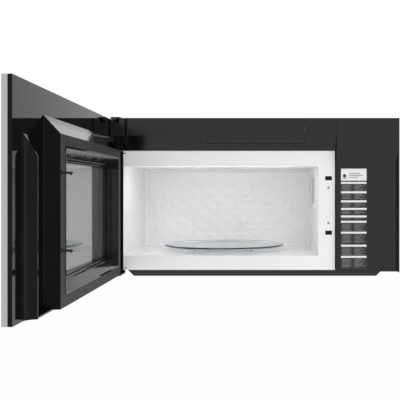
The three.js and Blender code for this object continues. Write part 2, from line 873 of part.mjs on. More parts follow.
function blowerWheel(x0) {
  const x1 = x0 + wheelWidth;
  const plate = 2;
  const outer = circle(blowerY, blowerZ, wheelRadius, 24);
  const hole = circle(blowerY, blowerZ, wheelRadius - wheelBladeDepth, 24);
  const rings = [x0, x1 - plate].map((x) => {
    const opening = prismX(hole, x - 1, x + plate + 1);
    return prismX(outer, x, x + plate).subtract(opening);
  });
  const web = prismX(outer, (x0 + x1) / 2, (x0 + x1) / 2 + plate);
  const blades = [];
  for (let i = 0; i < wheelBlades; i += 1) {
    const angle = (2 * Math.PI * i) / wheelBlades;
    const blade = new THREE.BoxGeometry(wheelWidth - plate, wheelBladeDepth - 2, wheelBladeThickness);
    blade.rotateX(0.6).translate(0, wheelRadius - wheelBladeDepth / 2, 0).rotateX(angle);
    blades.push(solidOf(blade.translate((x0 + x1) / 2, blowerY, blowerZ)));
  }
  const hub = prismX(circle(blowerY, blowerZ, blowerShaftRadius + 4, 12), x0 + 4, x1 - 4);
  const bore = prismX(circle(blowerY, blowerZ, blowerShaftRadius + clearance, 12), x0 - 1, x1 + 1);
  return union(...rings, web, hub, ...blades).subtract(bore);
}

const wheelStart = scrollInner + scrollWall + 3;
add(group, "blower_housing", blowerHousing(), finish.galvanized);
add(group, "blower_motor", blowerMotor(), finish.blackMatte);
add(group, "blower_wheel_left", blowerWheel(-wheelStart - wheelWidth), finish.blackMatte);
add(group, "blower_wheel_right", blowerWheel(wheelStart), finish.blackMatte);
const shaftHalf = wheelStart + wheelWidth - 2;
add(
  group,
  "blower_shaft",
  prismX(circle(blowerY, blowerZ, blowerShaftRadius, 12), -shaftHalf, shaftHalf),
  finish.galvanized,
);

function charcoalFilter() {
  const y0 = facePlane + 8;
  const low = cavityCeiling + cavityWall + 4;
  return box(
    accessMiddle - charcoalWidth / 2,
    accessMiddle + charcoalWidth / 2,
    y0,
    y0 + charcoalThickness,
    low,
    top - sheet - 4,
  );
}
add(group, "charcoal_filter", charcoalFilter(), finish.charcoal);

// ---- Microwave source and cooling ----
function waveguide() {
  const duct = box(guideX0, guideX0 + guideWidth, guideY0, guideY1, guideZ0, guideZ1);
  const inside = box(
    guideX0 + guideWall,
    guideX0 + guideWidth - guideWall,
    guideY0 + guideWall,
    guideY1 - guideWall,
    guideZ0 + guideWall,
    guideZ1 - guideWall,
  );
  const x1 = guideX0 + guideWidth;
  const hole = prismX(circle(magnetronY, magnetronZ, antennaRadius + 2, 16), x1 - 2 * guideWall, x1 + 1);
  return cut(duct, inside, guidePort(guideX0 - 1, guideX0 + 2 * guideWall), hole);
}
const magnetronX = guideX0 + guideWidth + clearance;
const magnetronY = (guideY0 + guideY1) / 2;
const magnetronZ = (guideZ0 + guideZ1) / 2;

function magnetron() {
  const x1 = magnetronX + magnetronWidth;
  const y0 = magnetronY - magnetronLength / 2;
  const y1 = magnetronY + magnetronLength / 2;
  const z0 = magnetronZ - magnetronHeight / 2;
  const z1 = magnetronZ + magnetronHeight / 2;
  const yoke = box(magnetronX, x1, y0, y1, z0, z1);
  const window = box(magnetronX + 3, x1 - 3, y0 - 1, y1 + 1, z0 + 3, z1 - 3);
  const can = prismX(circle(magnetronY, magnetronZ, 17, 20), magnetronX + 1, x1 - 1);
  const fins = [];
  for (let i = 0; i < magnetronFins; i += 1) {
    const x = magnetronX + (magnetronWidth * (i + 1.5)) / (magnetronFins + 2);
    fins.push(box(x, x + 1.2, y0 + 8, y1 - 8, z0 + 1, z1 - 1));
  }
  const tip = magnetronX - antennaReach;
  const antenna = prismX(circle(magnetronY, magnetronZ, antennaRadius, 14), tip, magnetronX + 1);
  return union(yoke.subtract(window), can, antenna, ...fins);
}

const fanX = (cavityRight + right) / 2 + 12;
const fanY1 = panelBack - 34;
const fanY0 = fanY1 - fanShroudDepth;

function fanShroud() {
  const half = fanShroudSize / 2;
  const frame = box(fanX - half, fanX + half, fanY0, fanY1, magnetronZ - half, magnetronZ + half);
  return frame.subtract(prismY(circle(fanX, magnetronZ, fanRadius + 2, 28), fanY0 - 1, fanY1 + 1));
}

function fanBlade() {
  const hub = prismY(circle(fanX, magnetronZ, fanHub, 16), fanY0 + 6, fanY1 - 4);
  const blades = [];
  for (let i = 0; i < fanBlades; i += 1) {
    const blade = new THREE.BoxGeometry(fanRadius - 10, 1.6, 30);
    blade.rotateX(0.5).translate((fanRadius + 10) / 2 - 1, 0, 0).rotateY((2 * Math.PI * i) / fanBlades);
    blades.push(solidOf(blade.translate(fanX, (fanY0 + fanY1) / 2, magnetronZ)));
  }
  return union(hub, ...blades);
}

function fanMotor() {
  const y0 = fanY1 + clearance;
  const half = fanShroudSize / 2;
  const rise = fanArm / 2;
  const can = prismY(circle(fanX, magnetronZ, 1.2 * fanHub, 16), y0, panelBack - fanMotorMargin);
  const arm = box(fanX - half, fanX + half, y0, y0 + fanArmThickness, magnetronZ - rise, magnetronZ + rise);
  return union(can, arm);
}

const deck = faceLow + sheet + clearance;

function transformer() {
  const x0 = cavityRight + cavityWall + transformerGap;
  const y0 = facePlane + boardSetback + boardThickness + 30;
  const x1 = x0 + transformerWidth;
  const y1 = y0 + transformerLength;
  const footing = box(x0 - 6, x1 + 6, y0, y1, deck, deck + 2);
  const core = box(x0, x1, y0 + 16, y1 - 16, deck, deck + transformerHeight);
  const coil = (z) => prismY(roundedRectangle(x0 + 12, x1 - 12, z, z + 26, 8), y0, y1, 3);
  return union(footing, core, coil(deck + 8), coil(deck + 42));
}

function capacitor() {
  const x1 = innerRight - 6;
  const y1 = -bodyDepth / 2;
  const corner = (7 / 16) * capacitorWidth;
  const shape = roundedRectangle(x1 - capacitorWidth, x1, y1 - capacitorLength, y1, corner);
  const can = prismZ(shape, deck, deck + capacitorHeight, 4);
  const terminals = [-1, 1].map((side) => {
    const y = y1 - capacitorLength / 2 + side * 10;
    const x = x1 - capacitorWidth / 2;
    return box(x - 3, x + 3, y - 1, y + 1, deck + capacitorHeight - 1, deck + capacitorHeight + 9);
  });
  return union(can, ...terminals);
}

function controlBoard() {
  const x1 = innerRight - boardSide;
  const x0 = x1 - boardWidth;
  const y0 = facePlane + boardSetback;
  const z0 = -boardHeight / 2;
  const back = y0 + boardThickness;
  const seat = back - boardThickness / 2;
  const board = box(x0, x1, y0, back, z0, z0 + boardHeight);
  const relays = [0, 1, 2].map((i) => {
    const x = x0 + relayInset + relayPitch * i;
    const z = z0 + relayLift;
    return box(x, x + relayWidth, seat, back + relayDepth, z, z + relayHeight);
  });
  const supplyX = x0 + supplyInset;
  const supplyHigh = z0 + boardHeight - supplyDrop;
  const supplyLow = supplyHigh - supplyHeight;
  const supply = box(supplyX, supplyX + supplyWidth, seat, back + supplyDepth, supplyLow, supplyHigh);
  return union(board, supply, ...relays);
}

add(group, "waveguide", waveguide(), finish.galvanized);
add(group, "magnetron", magnetron(), finish.galvanized);
add(group, "cooling_fan_shroud", fanShroud(), finish.blackMatte);
add(group, "cooling_fan_blade", fanBlade(), finish.white);
add(group, "cooling_fan_motor", fanMotor(), finish.galvanized);
add(group, "hv_transformer", transformer(), finish.copper);
add(group, "hv_capacitor", capacitor(), finish.aluminium);
add(group, "control_board", controlBoard(), finish.board);

// ---- Latch board and its switches ----
const boardFront = facePlane + cavityWall + clearance;
const latchX0 = cavityRight + cavityWall + 6;
const latchX1 = faceRight - 2;
const latchZ0 = slotLevels[1] - latchBoardEnd;
const latchZ1 = slotLevels[0] + latchBoardEnd;

function latchBoard() {
  const block = box(latchX0, latchX1, boardFront, boardFront + latchBoardDepth, latchZ0, latchZ1);
  const side = slotWidth / 2 + 1;
  const rise = latchPocketRise;
  const back = boardFront + latchPocketDepth;
  const pockets = slotLevels.map((z) =>
    box(slotX - side, slotX + side, boardFront - 1, back, z - rise, z + rise),
  );
  const relief = box(
    latchX0 + latchBoardWall,
    latchX1 - latchBoardWall,
    boardFront + latchBoardWall,
    boardFront + latchBoardDepth + 1,
    slotLevels[1] + latchRelief,
    slotLevels[0] - latchRelief,
  );
  return cut(block, relief, ...pockets);
}

function interlockSwitches() {
  const y0 = boardFront + latchBoardDepth + clearance;
  const y1 = y0 + switchDepth;
  const [high, low] = slotLevels;
  const stripBack = y1 - stripRecess;
  const stripFront = stripBack - stripThickness;
  const strip = box(latchX0 + stripInset, latchX1 - stripInset, stripFront, stripBack, low, high);
  const bodies = [];
  for (let i = 0; i < switchCount; i += 1) {
    const z = low + ((high - low) * i) / (switchCount - 1);
    bodies.push(box(latchX0 + switchInset, latchX1 - switchInset, y0, y1, z - switchRise, z + switchRise));
  }
  return union(strip, ...bodies);
}

function cavityLamp() {
  const x0 = cavityRight + cavityWall + clearance;
  const y1 = panelBack - 20;
  const z1 = cavityCeiling - 10;
  const socket = box(x0, x0 + lampHousing, y1 - lampHousing, y1, z1 - lampHousing, z1);
  return socket;
}
add(group, "latch_board", latchBoard(), finish.white);
add(group, "interlock_switches", interlockSwitches(), finish.blackMatte);
add(group, "cavity_lamp", cavityLamp(), finish.white);

// ---- Door: x runs from the hinge axis to the free end, y from its front towards the oven ----
const doorHinge = left - hingeX;
const doorFree = right - hingeX;
const doorLow = foot + doorFoot;
const doorHigh = top - doorDrop;
const frameFront = -doorFront;
const frameBack = frameFront + frameDepth;
const coverFront = frameBack + clearance;
const coverBack = coverFront + backDepth;
const blockFace = hingeForward - doorGap;
const blockBack = coverBack + clearance;
const blockFree = faceRight - hingeX - blockCover;
const blockFreeBack = blockFree + blockSideRun;
const blockHigh = faceHigh;
const seamX = blockFreeBack + 1.5;
const windowX1 = blockFree - windowFreeEdge;
const windowLow = doorLow + windowFootEdge;
const windowHigh = blockHigh - windowTopEdge;
const glassOpening = {
  x0: windowHingeEdge,
  x1: windowX1 - windowSlope,
  z0: windowLow + windowSlope,
  z1: windowHigh - windowSlope,
};

function windowCutter(grow, near, far) {
  const mouth = {
    x0: windowHingeEdge - grow,
    x1: windowX1 + grow,
    z0: windowLow - grow,
    z1: windowHigh + grow,
  };
  const throat = {
    x0: glassOpening.x0 - grow,
    x1: glassOpening.x1 + grow,
    z0: glassOpening.z0 - grow,
    z1: glassOpening.z1 + grow,
  };
  const tunnel = box(throat.x0, throat.x1, near, blockBack + windowStep, throat.z0, throat.z1);
  const funnel = taperedBox(blockBack + windowStep, throat, far, mouth);
  return tunnel.add(funnel);
}

function doorFrame() {
  const ring = box(doorHinge, doorFree, frameFront, frameBack, doorLow, doorHigh);
  const rebate = box(
    doorHinge + frameBorder,
    doorFree - frameBorder,
    frameFront - 1,
    frameFront + glassDepth + clearance,
    doorLow + frameBorder,
    doorHigh - frameBorder,
  );
  const through = box(
    doorHinge + frameBorder + frameLip,
    doorFree - frameBorder - frameLip,
    frameFront - 1,
    frameBack + 1,
    doorLow + frameBorder + frameLip,
    doorHigh - frameBorder - frameLip,
  );
  return cut(ring, rebate, through);
}

function doorGlass() {
  return box(
    doorHinge + frameBorder + clearance,
    doorFree - frameBorder - clearance,
    frameFront,
    frameFront + glassDepth,
    doorLow + frameBorder + clearance,
    doorHigh - frameBorder - clearance,
  );
}

function doorScreen() {
  const overlap = 8;
  const y1 = frameBack - clearance;
  return box(
    glassOpening.x0 - overlap,
    glassOpening.x1 + overlap,
    y1 - screenDepth,
    y1,
    glassOpening.z0 - overlap,
    glassOpening.z1 + overlap,
  );
}

// The steel plate let into the back cover's edge, with an arm that carries the pin.
function hingePlateForm(grow, low, high, armEnd) {
  const y0 = coverFront + hingePlateSkin - grow;
  const strip = box(
    -hingeArm - grow,
    hingePlateLength + grow,
    y0,
    coverBack - hingePlateSkin + grow,
    low - grow,
    high + grow,
  );
  return strip.add(box(-hingeArm - grow, hingeArm + grow, y0, armEnd, low - grow, high + grow));
}
const plateTop = { low: doorHigh - hingePlate - clearance, high: doorHigh - clearance };
const plateFoot = { low: doorLow + clearance, high: doorLow + clearance + hingePlate };

function doorBackCover() {
  const plate = box(doorHinge, seamX - doorSeam / 2, coverFront, coverBack, doorLow, doorHigh);
  const opening = box(
    glassOpening.x0,
    glassOpening.x1,
    coverFront - 1,
    coverBack + 1,
    glassOpening.z0,
    glassOpening.z1,
  );
  const seat = innerGlassBox(clearance, coverFront - 1);
  const pockets = [plateTop, plateFoot].map(({ low, high }) =>
    hingePlateForm(clearance, low, high, coverBack + 1),
  );
  return cut(plate, opening, seat, ...pockets);
}

function innerGlassBox(grow, front) {
  const lap = 8;
  return box(
    glassOpening.x0 - lap - grow,
    glassOpening.x1 + lap + grow,
    front,
    coverFront + innerGlassDepth + grow,
    glassOpening.z0 - lap - grow,
    glassOpening.z1 + lap + grow,
  );
}

function doorEndCover() {
  const x0 = seamX + doorSeam / 2;
  const plate = box(x0, doorFree, coverFront, coverBack, doorLow, doorHigh);
  const finX = doorFree - finInset;
  const tip = coverBack + finDepth;
  const finHigh = foot + finTopLow;
  // The fin's foot sweeps out towards the free end in a quarter ellipse.
  const sweep = [];
  const steps = 5;
  for (let i = 0; i <= steps; i += 1) {
    const angle = (Math.PI / 2) * (i / steps);
    sweep.push([
      finX + finThickness + finFlare * (1 - Math.cos(angle)),
      tip - (finDepth + 0.5) * Math.sin(angle),
    ]);
  }
  const base = coverBack - 0.5;
  const profile = [[finX, base], [finX + finFlare, base], ...sweep.reverse(), [finX, tip]];
  const blade = prismZ(outline(profile.filter(distinct)), doorLow, finHigh + finTopRise);
  const slant = prismX(
    outline([
      [coverBack, finHigh + finTopRise],
      [tip + 1, finHigh - finTopRise / finDepth],
      [tip + 1, finHigh + 2 * finTopRise],
      [coverBack, finHigh + 2 * finTopRise],
    ]),
    finX - 1,
    finX + finThickness + finFlare + 1,
  );
  const shelf = box(x0, finX + 1, coverBack - 0.5, coverBack + ledgeDepth, doorLow, doorLow + ledgeThickness);
  return union(plate, blade.subtract(slant), shelf);
}

function distinct(point, i, all) {
  const next = all[(i + 1) % all.length];
  return Math.hypot(point[0] - next[0], point[1] - next[1]) > 1e-6;
}

function blockForm(grow, back, face) {
  const near = {
    x0: blockHingeEdge + grow,
    x1: blockFreeBack - grow,
    z0: doorLow + grow,
    z1: blockHigh + blockTopRun - grow,
  };
  const far = {
    x0: blockHingeEdge + grow,
    x1: blockFree - grow,
    z0: doorLow + grow,
    z1: blockHigh - grow,
  };
  return taperedBox(back, near, face, far);
}

function blockCoverShell() {
  const shell = blockForm(0, blockBack, blockFace);
  const hollow = blockForm(blockWall, blockBack - 1, blockFace - blockWall);
  const wall = windowCutter(blockWall, blockBack - 2, blockFace + 1);
  const hooks = slotLevels.map((z) => hookHole(z));
  const springTop = springLow + springHeight + clearance;
  const seat = box(leverX0, leverX1, leverY0, blockFace - 1, springTop, springTop + blockWall);
  const body = cut(shell, hollow.subtract(wall), windowCutter(0, blockBack - 1, blockFace + 0.01), ...hooks);
  return body.add(seat);
}

const hookX = slotX - hingeX;

function hookHole(z) {
  return box(
    hookX - hookWidth / 2 - 0.8,
    hookX + hookWidth / 2 + 0.8,
    blockFace - 2 * blockWall,
    blockFace + 1,
    z - hookHeight / 2 - hookBarb - 1,
    z + hookHeight / 2 + hookTravel + 1,
  );
}

const leverY1 = blockFace - blockWall - 1;
const leverY0 = leverY1 - leverDepth;
const leverX1 = hookX + leverBeyond;
const leverX0 = leverX1 - leverWidth;

function latchLever() {
  const low = slotLevels[1] - 14;
  const high = slotLevels[0] + 14;
  const bar = box(leverX0, leverX1, leverY0, leverY1, low, high);
  const groove = box(leverX0 + 2, leverX1 - 2, leverY0 - 1, leverY1 - 2, low + 24, high - 24);
  const hooks = slotLevels.map((z) => {
    const tip = blockFace + hookReach;
    const profile = outline([
      [leverY1 - 1, z - hookHeight / 2],
      [tip - 6, z - hookHeight / 2],
      [tip - 6, z - hookHeight / 2 - hookBarb],
      [tip - 3, z - hookHeight / 2 - hookBarb],
      [tip, z + hookHeight / 4],
      [tip - 3, z + hookHeight / 2],
      [leverY1 - 1, z + hookHeight / 2],
    ]);
    return prismX(profile, hookX - hookWidth / 2, hookX + hookWidth / 2);
  });
  return union(bar.subtract(groove), ...hooks);
}

// The latch spring: one wire wound in a helix, with flat ends.
class Helix extends THREE.Curve {
  getPoint(share, target = new THREE.Vector3()) {
    const angle = share * springCurls * 2 * Math.PI;
    const z = springLow + springWire + share * (springHeight - 2 * springWire);
    return target.set(springX + springRadius * Math.cos(angle), springY + springRadius * Math.sin(angle), z);
  }
}
const springX = (leverX0 + leverX1) / 2;
const springY = (leverY0 + leverY1) / 2;
const springLow = slotLevels[0] + 14 + clearance;

function latchSpring() {
  const wire = circle(0, 0, springWire, 5);
  const geometry = new THREE.ExtrudeGeometry(wire, { steps: springCurls * 8, extrudePath: new Helix() });
  return solidOf(geometry);
}

function chokeRing() {
  const lap = 5;
  const y0 = blockBack + clearance;
  const outer = box(
    blockHingeEdge + blockWall + lap,
    leverX0 - lap,
    y0,
    y0 + 8,
    doorLow + blockWall + lap,
    blockHigh - blockWall,
  );
  const wall = windowCutter(blockWall + clearance, blockBack - 2, blockFace + 1);
  const trough = box(
    blockHingeEdge + blockWall + lap + 1,
    leverX0 - lap - 1,
    y0 + 1,
    y0 + 9,
    doorLow + blockWall + lap + 1,
    blockHigh - blockWall - 1,
  );
  const liner = windowCutter(blockWall + clearance + 1, blockBack - 2, blockFace + 1);
  return cut(outer, wall, trough.subtract(liner));
}

function hingePin(low, high) {
  return prismZ(circle(0, 0, pinRadius, 16), low, high);
}

function doorHingePlate({ low, high }, pinLow, pinHigh) {
  return hingePlateForm(0, low, high, hingeArm).add(hingePin(pinLow, pinHigh));
}

function touchBoard() {
  const x0 = seamX + touchMargin;
  const x1 = doorFree - frameBorder - touchMargin;
  const y0 = frameBack - touchBehind;
  const y1 = y0 + boardThickness;
  const z0 = doorLow + touchEnd;
  const z1 = doorHigh - touchEnd;
  const displayHigh = z1 - displayHeight;
  const displayLow = displayHigh - displayHeight;
  const seat = y0 + boardThickness / 2;
  const board = box(x0, x1, y0, y1, z0, z1);
  const display = box(x0 + displayInset, x1 - displayInset, y0 - displayDepth, seat, displayLow, displayHigh);
  return union(board, display);
}

add(door, "door_frame", doorFrame(), finish.stainless);
add(door, "door_glass", doorGlass(), finish.glass);
add(door, "door_screen", doorScreen(), finish.blackMatte);
add(door, "door_back_cover", doorBackCover(), finish.black);
add(door, "door_end_cover", doorEndCover(), finish.black);
add(door, "door_window_glass", innerGlassBox(0, coverFront), finish.glass);
add(door, "door_block_cover", blockCoverShell(), finish.black);
add(door, "door_choke_ring", chokeRing(), finish.galvanized);
const plateUpper = doorHingePlate(plateTop, plateTop.low, topBracketLow + bracketThickness);
const plateLower = doorHingePlate(plateFoot, footBracketLow, plateFoot.high);
add(door, "door_hinge_plate_top", plateUpper, finish.galvanized);
add(door, "door_hinge_plate_bottom", plateLower, finish.galvanized);
add(door, "touch_board", touchBoard(), finish.board);
add(door, "latch_lever", latchLever(), finish.blackMatte);
add(door, "latch_spring", latchSpring(), finish.galvanized);

export default group;
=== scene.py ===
import math

import bmesh
import bpy
from mathutils import Matrix, Vector


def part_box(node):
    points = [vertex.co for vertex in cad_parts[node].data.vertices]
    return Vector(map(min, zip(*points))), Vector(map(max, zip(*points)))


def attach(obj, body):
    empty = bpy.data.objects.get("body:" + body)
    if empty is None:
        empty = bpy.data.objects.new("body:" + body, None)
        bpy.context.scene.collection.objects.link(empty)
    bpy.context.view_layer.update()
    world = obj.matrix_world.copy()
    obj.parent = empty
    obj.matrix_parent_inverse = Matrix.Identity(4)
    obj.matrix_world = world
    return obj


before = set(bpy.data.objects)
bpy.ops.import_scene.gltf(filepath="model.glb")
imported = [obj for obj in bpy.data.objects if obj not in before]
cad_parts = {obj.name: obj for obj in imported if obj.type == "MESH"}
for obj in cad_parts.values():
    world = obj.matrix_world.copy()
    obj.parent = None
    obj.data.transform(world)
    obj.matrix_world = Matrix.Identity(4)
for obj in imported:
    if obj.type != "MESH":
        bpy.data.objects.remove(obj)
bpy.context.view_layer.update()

# ---------------------------------------------------------------- camera
PICTURE = 400.0  # side of the square picture, pixels
FOCAL = 736.8  # focal length, pixels
AXIS_AT = (264.8, 190.9)  # where the camera's axis meets the picture, pixels from the top left
SENSOR = 36.0  # sensor width, mm
camera_data = bpy.data.cameras.new("camera")
camera_data.sensor_width = SENSOR
camera_data.lens = FOCAL / PICTURE * SENSOR
camera_data.shift_x = (PICTURE / 2 - AXIS_AT[0]) / PICTURE
camera_data.shift_y = (AXIS_AT[1] - PICTURE / 2) / PICTURE
camera_data.clip_end = 50.0
camera = bpy.data.objects.new("camera", camera_data)
camera.location = (0.0261, -2.341, 0.01745)
camera.rotation_euler = (math.radians(90), 0, 0)
bpy.context.collection.objects.link(camera)
bpy.context.scene.camera = camera

# ---------------------------------------------------------------- sizes, metres, in the CAD frame
MM = 0.001
FOOT = -0.20875  # lowest point of the cabinet
FACE = -0.380  # white front face
HINGE_X, HINGE_Y = -0.3702, -0.402  # the door's axis
OVEN_X = -0.0915  # middle of the oven and of its tray


def h(height_mm):
    """z of a height above the cabinet's foot."""
    return FOOT + height_mm * MM


# ---------------------------------------------------------------- materials
NOISE_LOW, NOISE_HIGH = 0.3, 0.7  # the span that most noise values fall in


class Surface:
    """A procedural material: a principled shader with noise in its colour, roughness and relief."""

    def __init__(self, name, color, rough, metal=0.0):
        self.material = bpy.data.materials.new(name)
        self.material.use_nodes = True
        self.tree = self.material.node_tree
        self.shader = self.tree.nodes["Principled BSDF"]
        self.color = (*color, 1.0)
        self.rough = rough
        self.set("Base Color", self.color)
        self.set("Roughness", rough)
        self.set("Metallic", metal)
        self.set("IOR", 1.5)
        self.coords = self.node("ShaderNodeTexCoord")

    def node(self, kind, **values):
        made = self.tree.nodes.new(kind)
        for key, value in values.items():
            setattr(made, key, value)
        return made

    def link(self, out, into):
        self.tree.links.new(out, into)

    def set(self, name, value):
        self.shader.inputs[name].default_value = value

    def place(self, stretch=(1, 1, 1), turn=(0, 0, 0)):
        """Object coordinates, scaled and turned."""
        mapping = self.node("ShaderNodeMapping")
        mapping.inputs["Scale"].default_value = stretch
        mapping.inputs["Rotation"].default_value = turn
        self.link(self.coords.outputs["Object"], mapping.inputs["Vector"])
        return mapping.outputs["Vector"]

    def noise(self, scale, detail=3.0, stretch=(1, 1, 1)):
        made = self.node("ShaderNodeTexNoise")
        made.inputs["Scale"].default_value = scale
        made.inputs["Detail"].default_value = detail
        self.link(self.place(stretch), made.inputs["Vector"])
        return made.outputs["Fac"]

    def ranged(self, value, low, high):
        """A noise value spread from low to high."""
        made = self.node("ShaderNodeMapRange")
        made.inputs["From Min"].default_value = NOISE_LOW
        made.inputs["From Max"].default_value = NOISE_HIGH
        made.inputs["To Min"].default_value = low
        made.inputs["To Max"].default_value = high
        self.link(value, made.inputs["Value"])
        return made.outputs["Result"]

    def mask(self, value, other):
        """Another colour where the value is 1."""
        mix = self.node("ShaderNodeMix", data_type="RGBA")
        mix.inputs["A"].default_value = self.color
        mix.inputs["B"].default_value = (*other, 1.0)
        old = self.shader.inputs["Base Color"]
        if old.is_linked:
            self.link(old.links[0].from_socket, mix.inputs["A"])
        self.link(value, mix.inputs["Factor"])
        self.link(mix.outputs["Result"], old)

    def mottle(self, value, other, amount=1.0):
        """Blends the colour towards another where a noise value is high."""
        self.mask(self.ranged(value, 0.0, amount), other)

    def polish(self, value, spread):
        """Varies the roughness about its value."""
        low, high = max(0.0, self.rough - spread), self.rough + spread
        self.link(self.ranged(value, low, high), self.shader.inputs["Roughness"])

    def relief(self, value, depth, strength=1.0):
        """Adds a bump to those the surface has already."""
        bump = self.node("ShaderNodeBump")
        bump.inputs["Distance"].default_value = depth
        bump.inputs["Strength"].default_value = strength
        normal = self.shader.inputs["Normal"]
        if normal.is_linked:
            self.link(normal.links[0].from_socket, bump.inputs["Normal"])
        self.link(value, bump.inputs["Height"])
        self.link(bump.outputs["Normal"], normal)


def math_node(surface, operation, a, b=None):
    """A math node of one or two operands, each a number or an output."""
    made = surface.node("ShaderNodeMath", operation=operation)
    for i, value in enumerate((a, b)):
        if value is None:
            continue
        if isinstance(value, (int, float)):
            made.inputs[i].default_value = value
        else:
            surface.link(value, made.inputs[i])
    return made.outputs[0]


def axis_of(surface, output, axis):
    """One axis of the object coordinates or of the normal."""
    split = surface.node("ShaderNodeSeparateXYZ")
    surface.link(surface.coords.outputs[output], split.inputs["Vector"])
    return split.outputs[axis]


def both(surface, a, b):
    return math_node(surface, "MULTIPLY", a, b)


def within(surface, value, low, high):
    """1 where the value lies between two numbers."""
    above = math_node(surface, "GREATER_THAN", value, low)
    return both(surface, above, math_node(surface, "LESS_THAN", value, high))


def through_pitch(surface, value, start, pitch):
    """How far the value is through each repeat, from 0 to 1; the lift keeps it above zero."""
    lift = 2.0
    raised = math_node(surface, "ADD", value, lift + start % pitch)
    return math_node(surface, "FRACT", math_node(surface, "DIVIDE", raised, pitch))


def block_black(name):
    """The door's inner block: satin on its broad face, polished on its slopes."""
    s = Surface(name, (0.0030, 0.0030, 0.0034), 0.1)
    s.mottle(s.noise(9.0, 4.0), (0.008, 0.008, 0.009), 0.8)
    face = math_node(s, "GREATER_THAN", axis_of(s, "Normal", "X"), 0.9)
    grain = s.ranged(s.noise(60.0, 4.0), -0.05, 0.05)
    level = math_node(s, "ADD", math_node(s, "MULTIPLY", face, 0.5), 0.1)
    s.link(math_node(s, "ADD", level, grain), s.shader.inputs["Roughness"])
    s.relief(both(s, face, s.noise(900.0, 2.0)), 0.00005, 0.6)
    return s.material


# The door's window, keys and display on the front glass: spans along Y and Z at rest, with the door open.
WINDOW_Y, WINDOW_Z = (-0.912, -0.438), (-0.150, 0.074)
KEYS_Y, KEYS_Z = (-1.106, -1.016), (-0.135, 0.045)
KEY_PITCH_Y, KEY_PITCH_Z = 0.03, 0.02
DISPLAY_Y, DISPLAY_Z = (-1.100, -1.022), (0.075, 0.105)


def front_glass(name):
    """Black printed glass, clear at the window, with a blank display and a field of wordless key marks."""
    s = Surface(name, (0.010, 0.010, 0.011), 0.02)
    s.set("Coat Weight", 0.6)
    s.set("Coat Roughness", 0.02)
    y = axis_of(s, "Object", "Y")
    z = axis_of(s, "Object", "Z")
    window = both(s, within(s, y, *WINDOW_Y), within(s, z, *WINDOW_Z))
    s.mask(window, (0.62, 0.63, 0.63))
    s.link(both(s, window, 0.96), s.shader.inputs["Transmission Weight"])
    display = both(s, within(s, y, *DISPLAY_Y), within(s, z, *DISPLAY_Z))
    s.mask(display, (0.004, 0.012, 0.016))
    field = both(s, within(s, y, *KEYS_Y), within(s, z, *KEYS_Z))
    across = through_pitch(s, y, KEYS_Y[0], KEY_PITCH_Y)
    down = through_pitch(s, z, KEYS_Z[0], KEY_PITCH_Z)
    key = both(s, within(s, across, 0.25, 0.75), within(s, down, 0.44, 0.56))
    s.mask(both(s, field, key), (0.55, 0.56, 0.57))
    s.polish(s.noise(8.0, 5.0), 0.012)
    s.relief(s.noise(3.0, 2.0), 0.0002, 0.15)
    return s.material


def black_gloss(name, tint, rough, orange, specular=0.5):
    """Black moulding or paint with a fine orange peel."""
    s = Surface(name, tint, rough)
    s.set("Specular IOR Level", specular)
    s.mottle(s.noise(9.0, 4.0), (tint[0] * 1.8, tint[1] * 1.8, tint[2] * 1.9), 0.8)
    s.polish(s.noise(30.0, 5.0), 0.025)
    s.relief(s.noise(420.0, 2.0), orange, 0.5)
    return s.material


def black_satin(name, tint=(0.008, 0.008, 0.009), rough=0.4, grain=900.0, depth=0.00006):
    """Black moulding with a fine grain."""
    s = Surface(name, tint, rough)
    s.mottle(s.noise(14.0, 4.0), (tint[0] * 1.7, tint[1] * 1.7, tint[2] * 1.7), 0.8)
    s.polish(s.noise(60.0, 4.0), 0.06)
    s.relief(s.noise(grain, 3.0), depth)
    return s.material


def brushed(name, color, rough, along, metal=1.0):
    """Metal brushed along one axis: noise drawn out that way in roughness, colour and relief."""
    stretch = tuple(0.02 if axis == along else 1.0 for axis in "xyz")
    s = Surface(name, color, rough, metal)
    dark = tuple(c * 0.82 for c in color)
    s.mottle(s.noise(1400.0, 2.0, stretch), dark, 0.7)
    s.mottle(s.noise(5.0, 3.0), tuple(c * 0.94 for c in color), 0.6)
    s.polish(s.noise(900.0, 3.0, stretch), 0.07)
    s.relief(s.noise(1800.0, 2.0, stretch), 0.00003, 0.6)
    return s.material


def zinc(name, color=(0.50, 0.52, 0.53), rough=0.42):
    """Zinc-coated sheet: large flat crystals of slightly different grey."""
    s = Surface(name, color, rough, 1.0)
    cells = s.node("ShaderNodeTexVoronoi")
    cells.inputs["Scale"].default_value = 90.0
    s.link(s.place((1, 1, 1), (0.3, 0.2, 0.5)), cells.inputs["Vector"])
    grey = s.node("ShaderNodeSeparateColor")
    s.link(cells.outputs["Color"], grey.inputs["Color"])
    s.mottle(grey.outputs[0], tuple(c * 0.72 for c in color), 0.6)
    s.mottle(s.noise(6.0, 5.0), tuple(c * 0.88 for c in color), 0.7)
    s.polish(grey.outputs[1], 0.08)
    s.relief(s.noise(300.0, 3.0), 0.00003, 0.5)
    return s.material


def enamel(name, color=(0.87, 0.87, 0.88), rough=0.22):
    """Fired enamel, with a long wave and a fine one in its relief."""
    s = Surface(name, color, rough)
    s.mottle(s.noise(7.0, 4.0), tuple(c * 0.955 for c in color), 0.8)
    s.polish(s.noise(40.0, 4.0), 0.05)
    s.relief(s.noise(160.0, 3.0), 0.00006, 0.5)
    s.relief(s.noise(1500.0, 2.0), 0.00001, 0.4)
    return s.material


def plastic(name, color, rough=0.45, grain=700.0, depth=0.00004):
    """Plain moulded plastic with a fine grain."""
    s = Surface(name, color, rough)
    s.mottle(s.noise(12.0, 4.0), tuple(c * 0.9 for c in color), 0.8)
    s.polish(s.noise(50.0, 4.0), 0.06)
    s.relief(s.noise(grain, 3.0), depth)
    return s.material


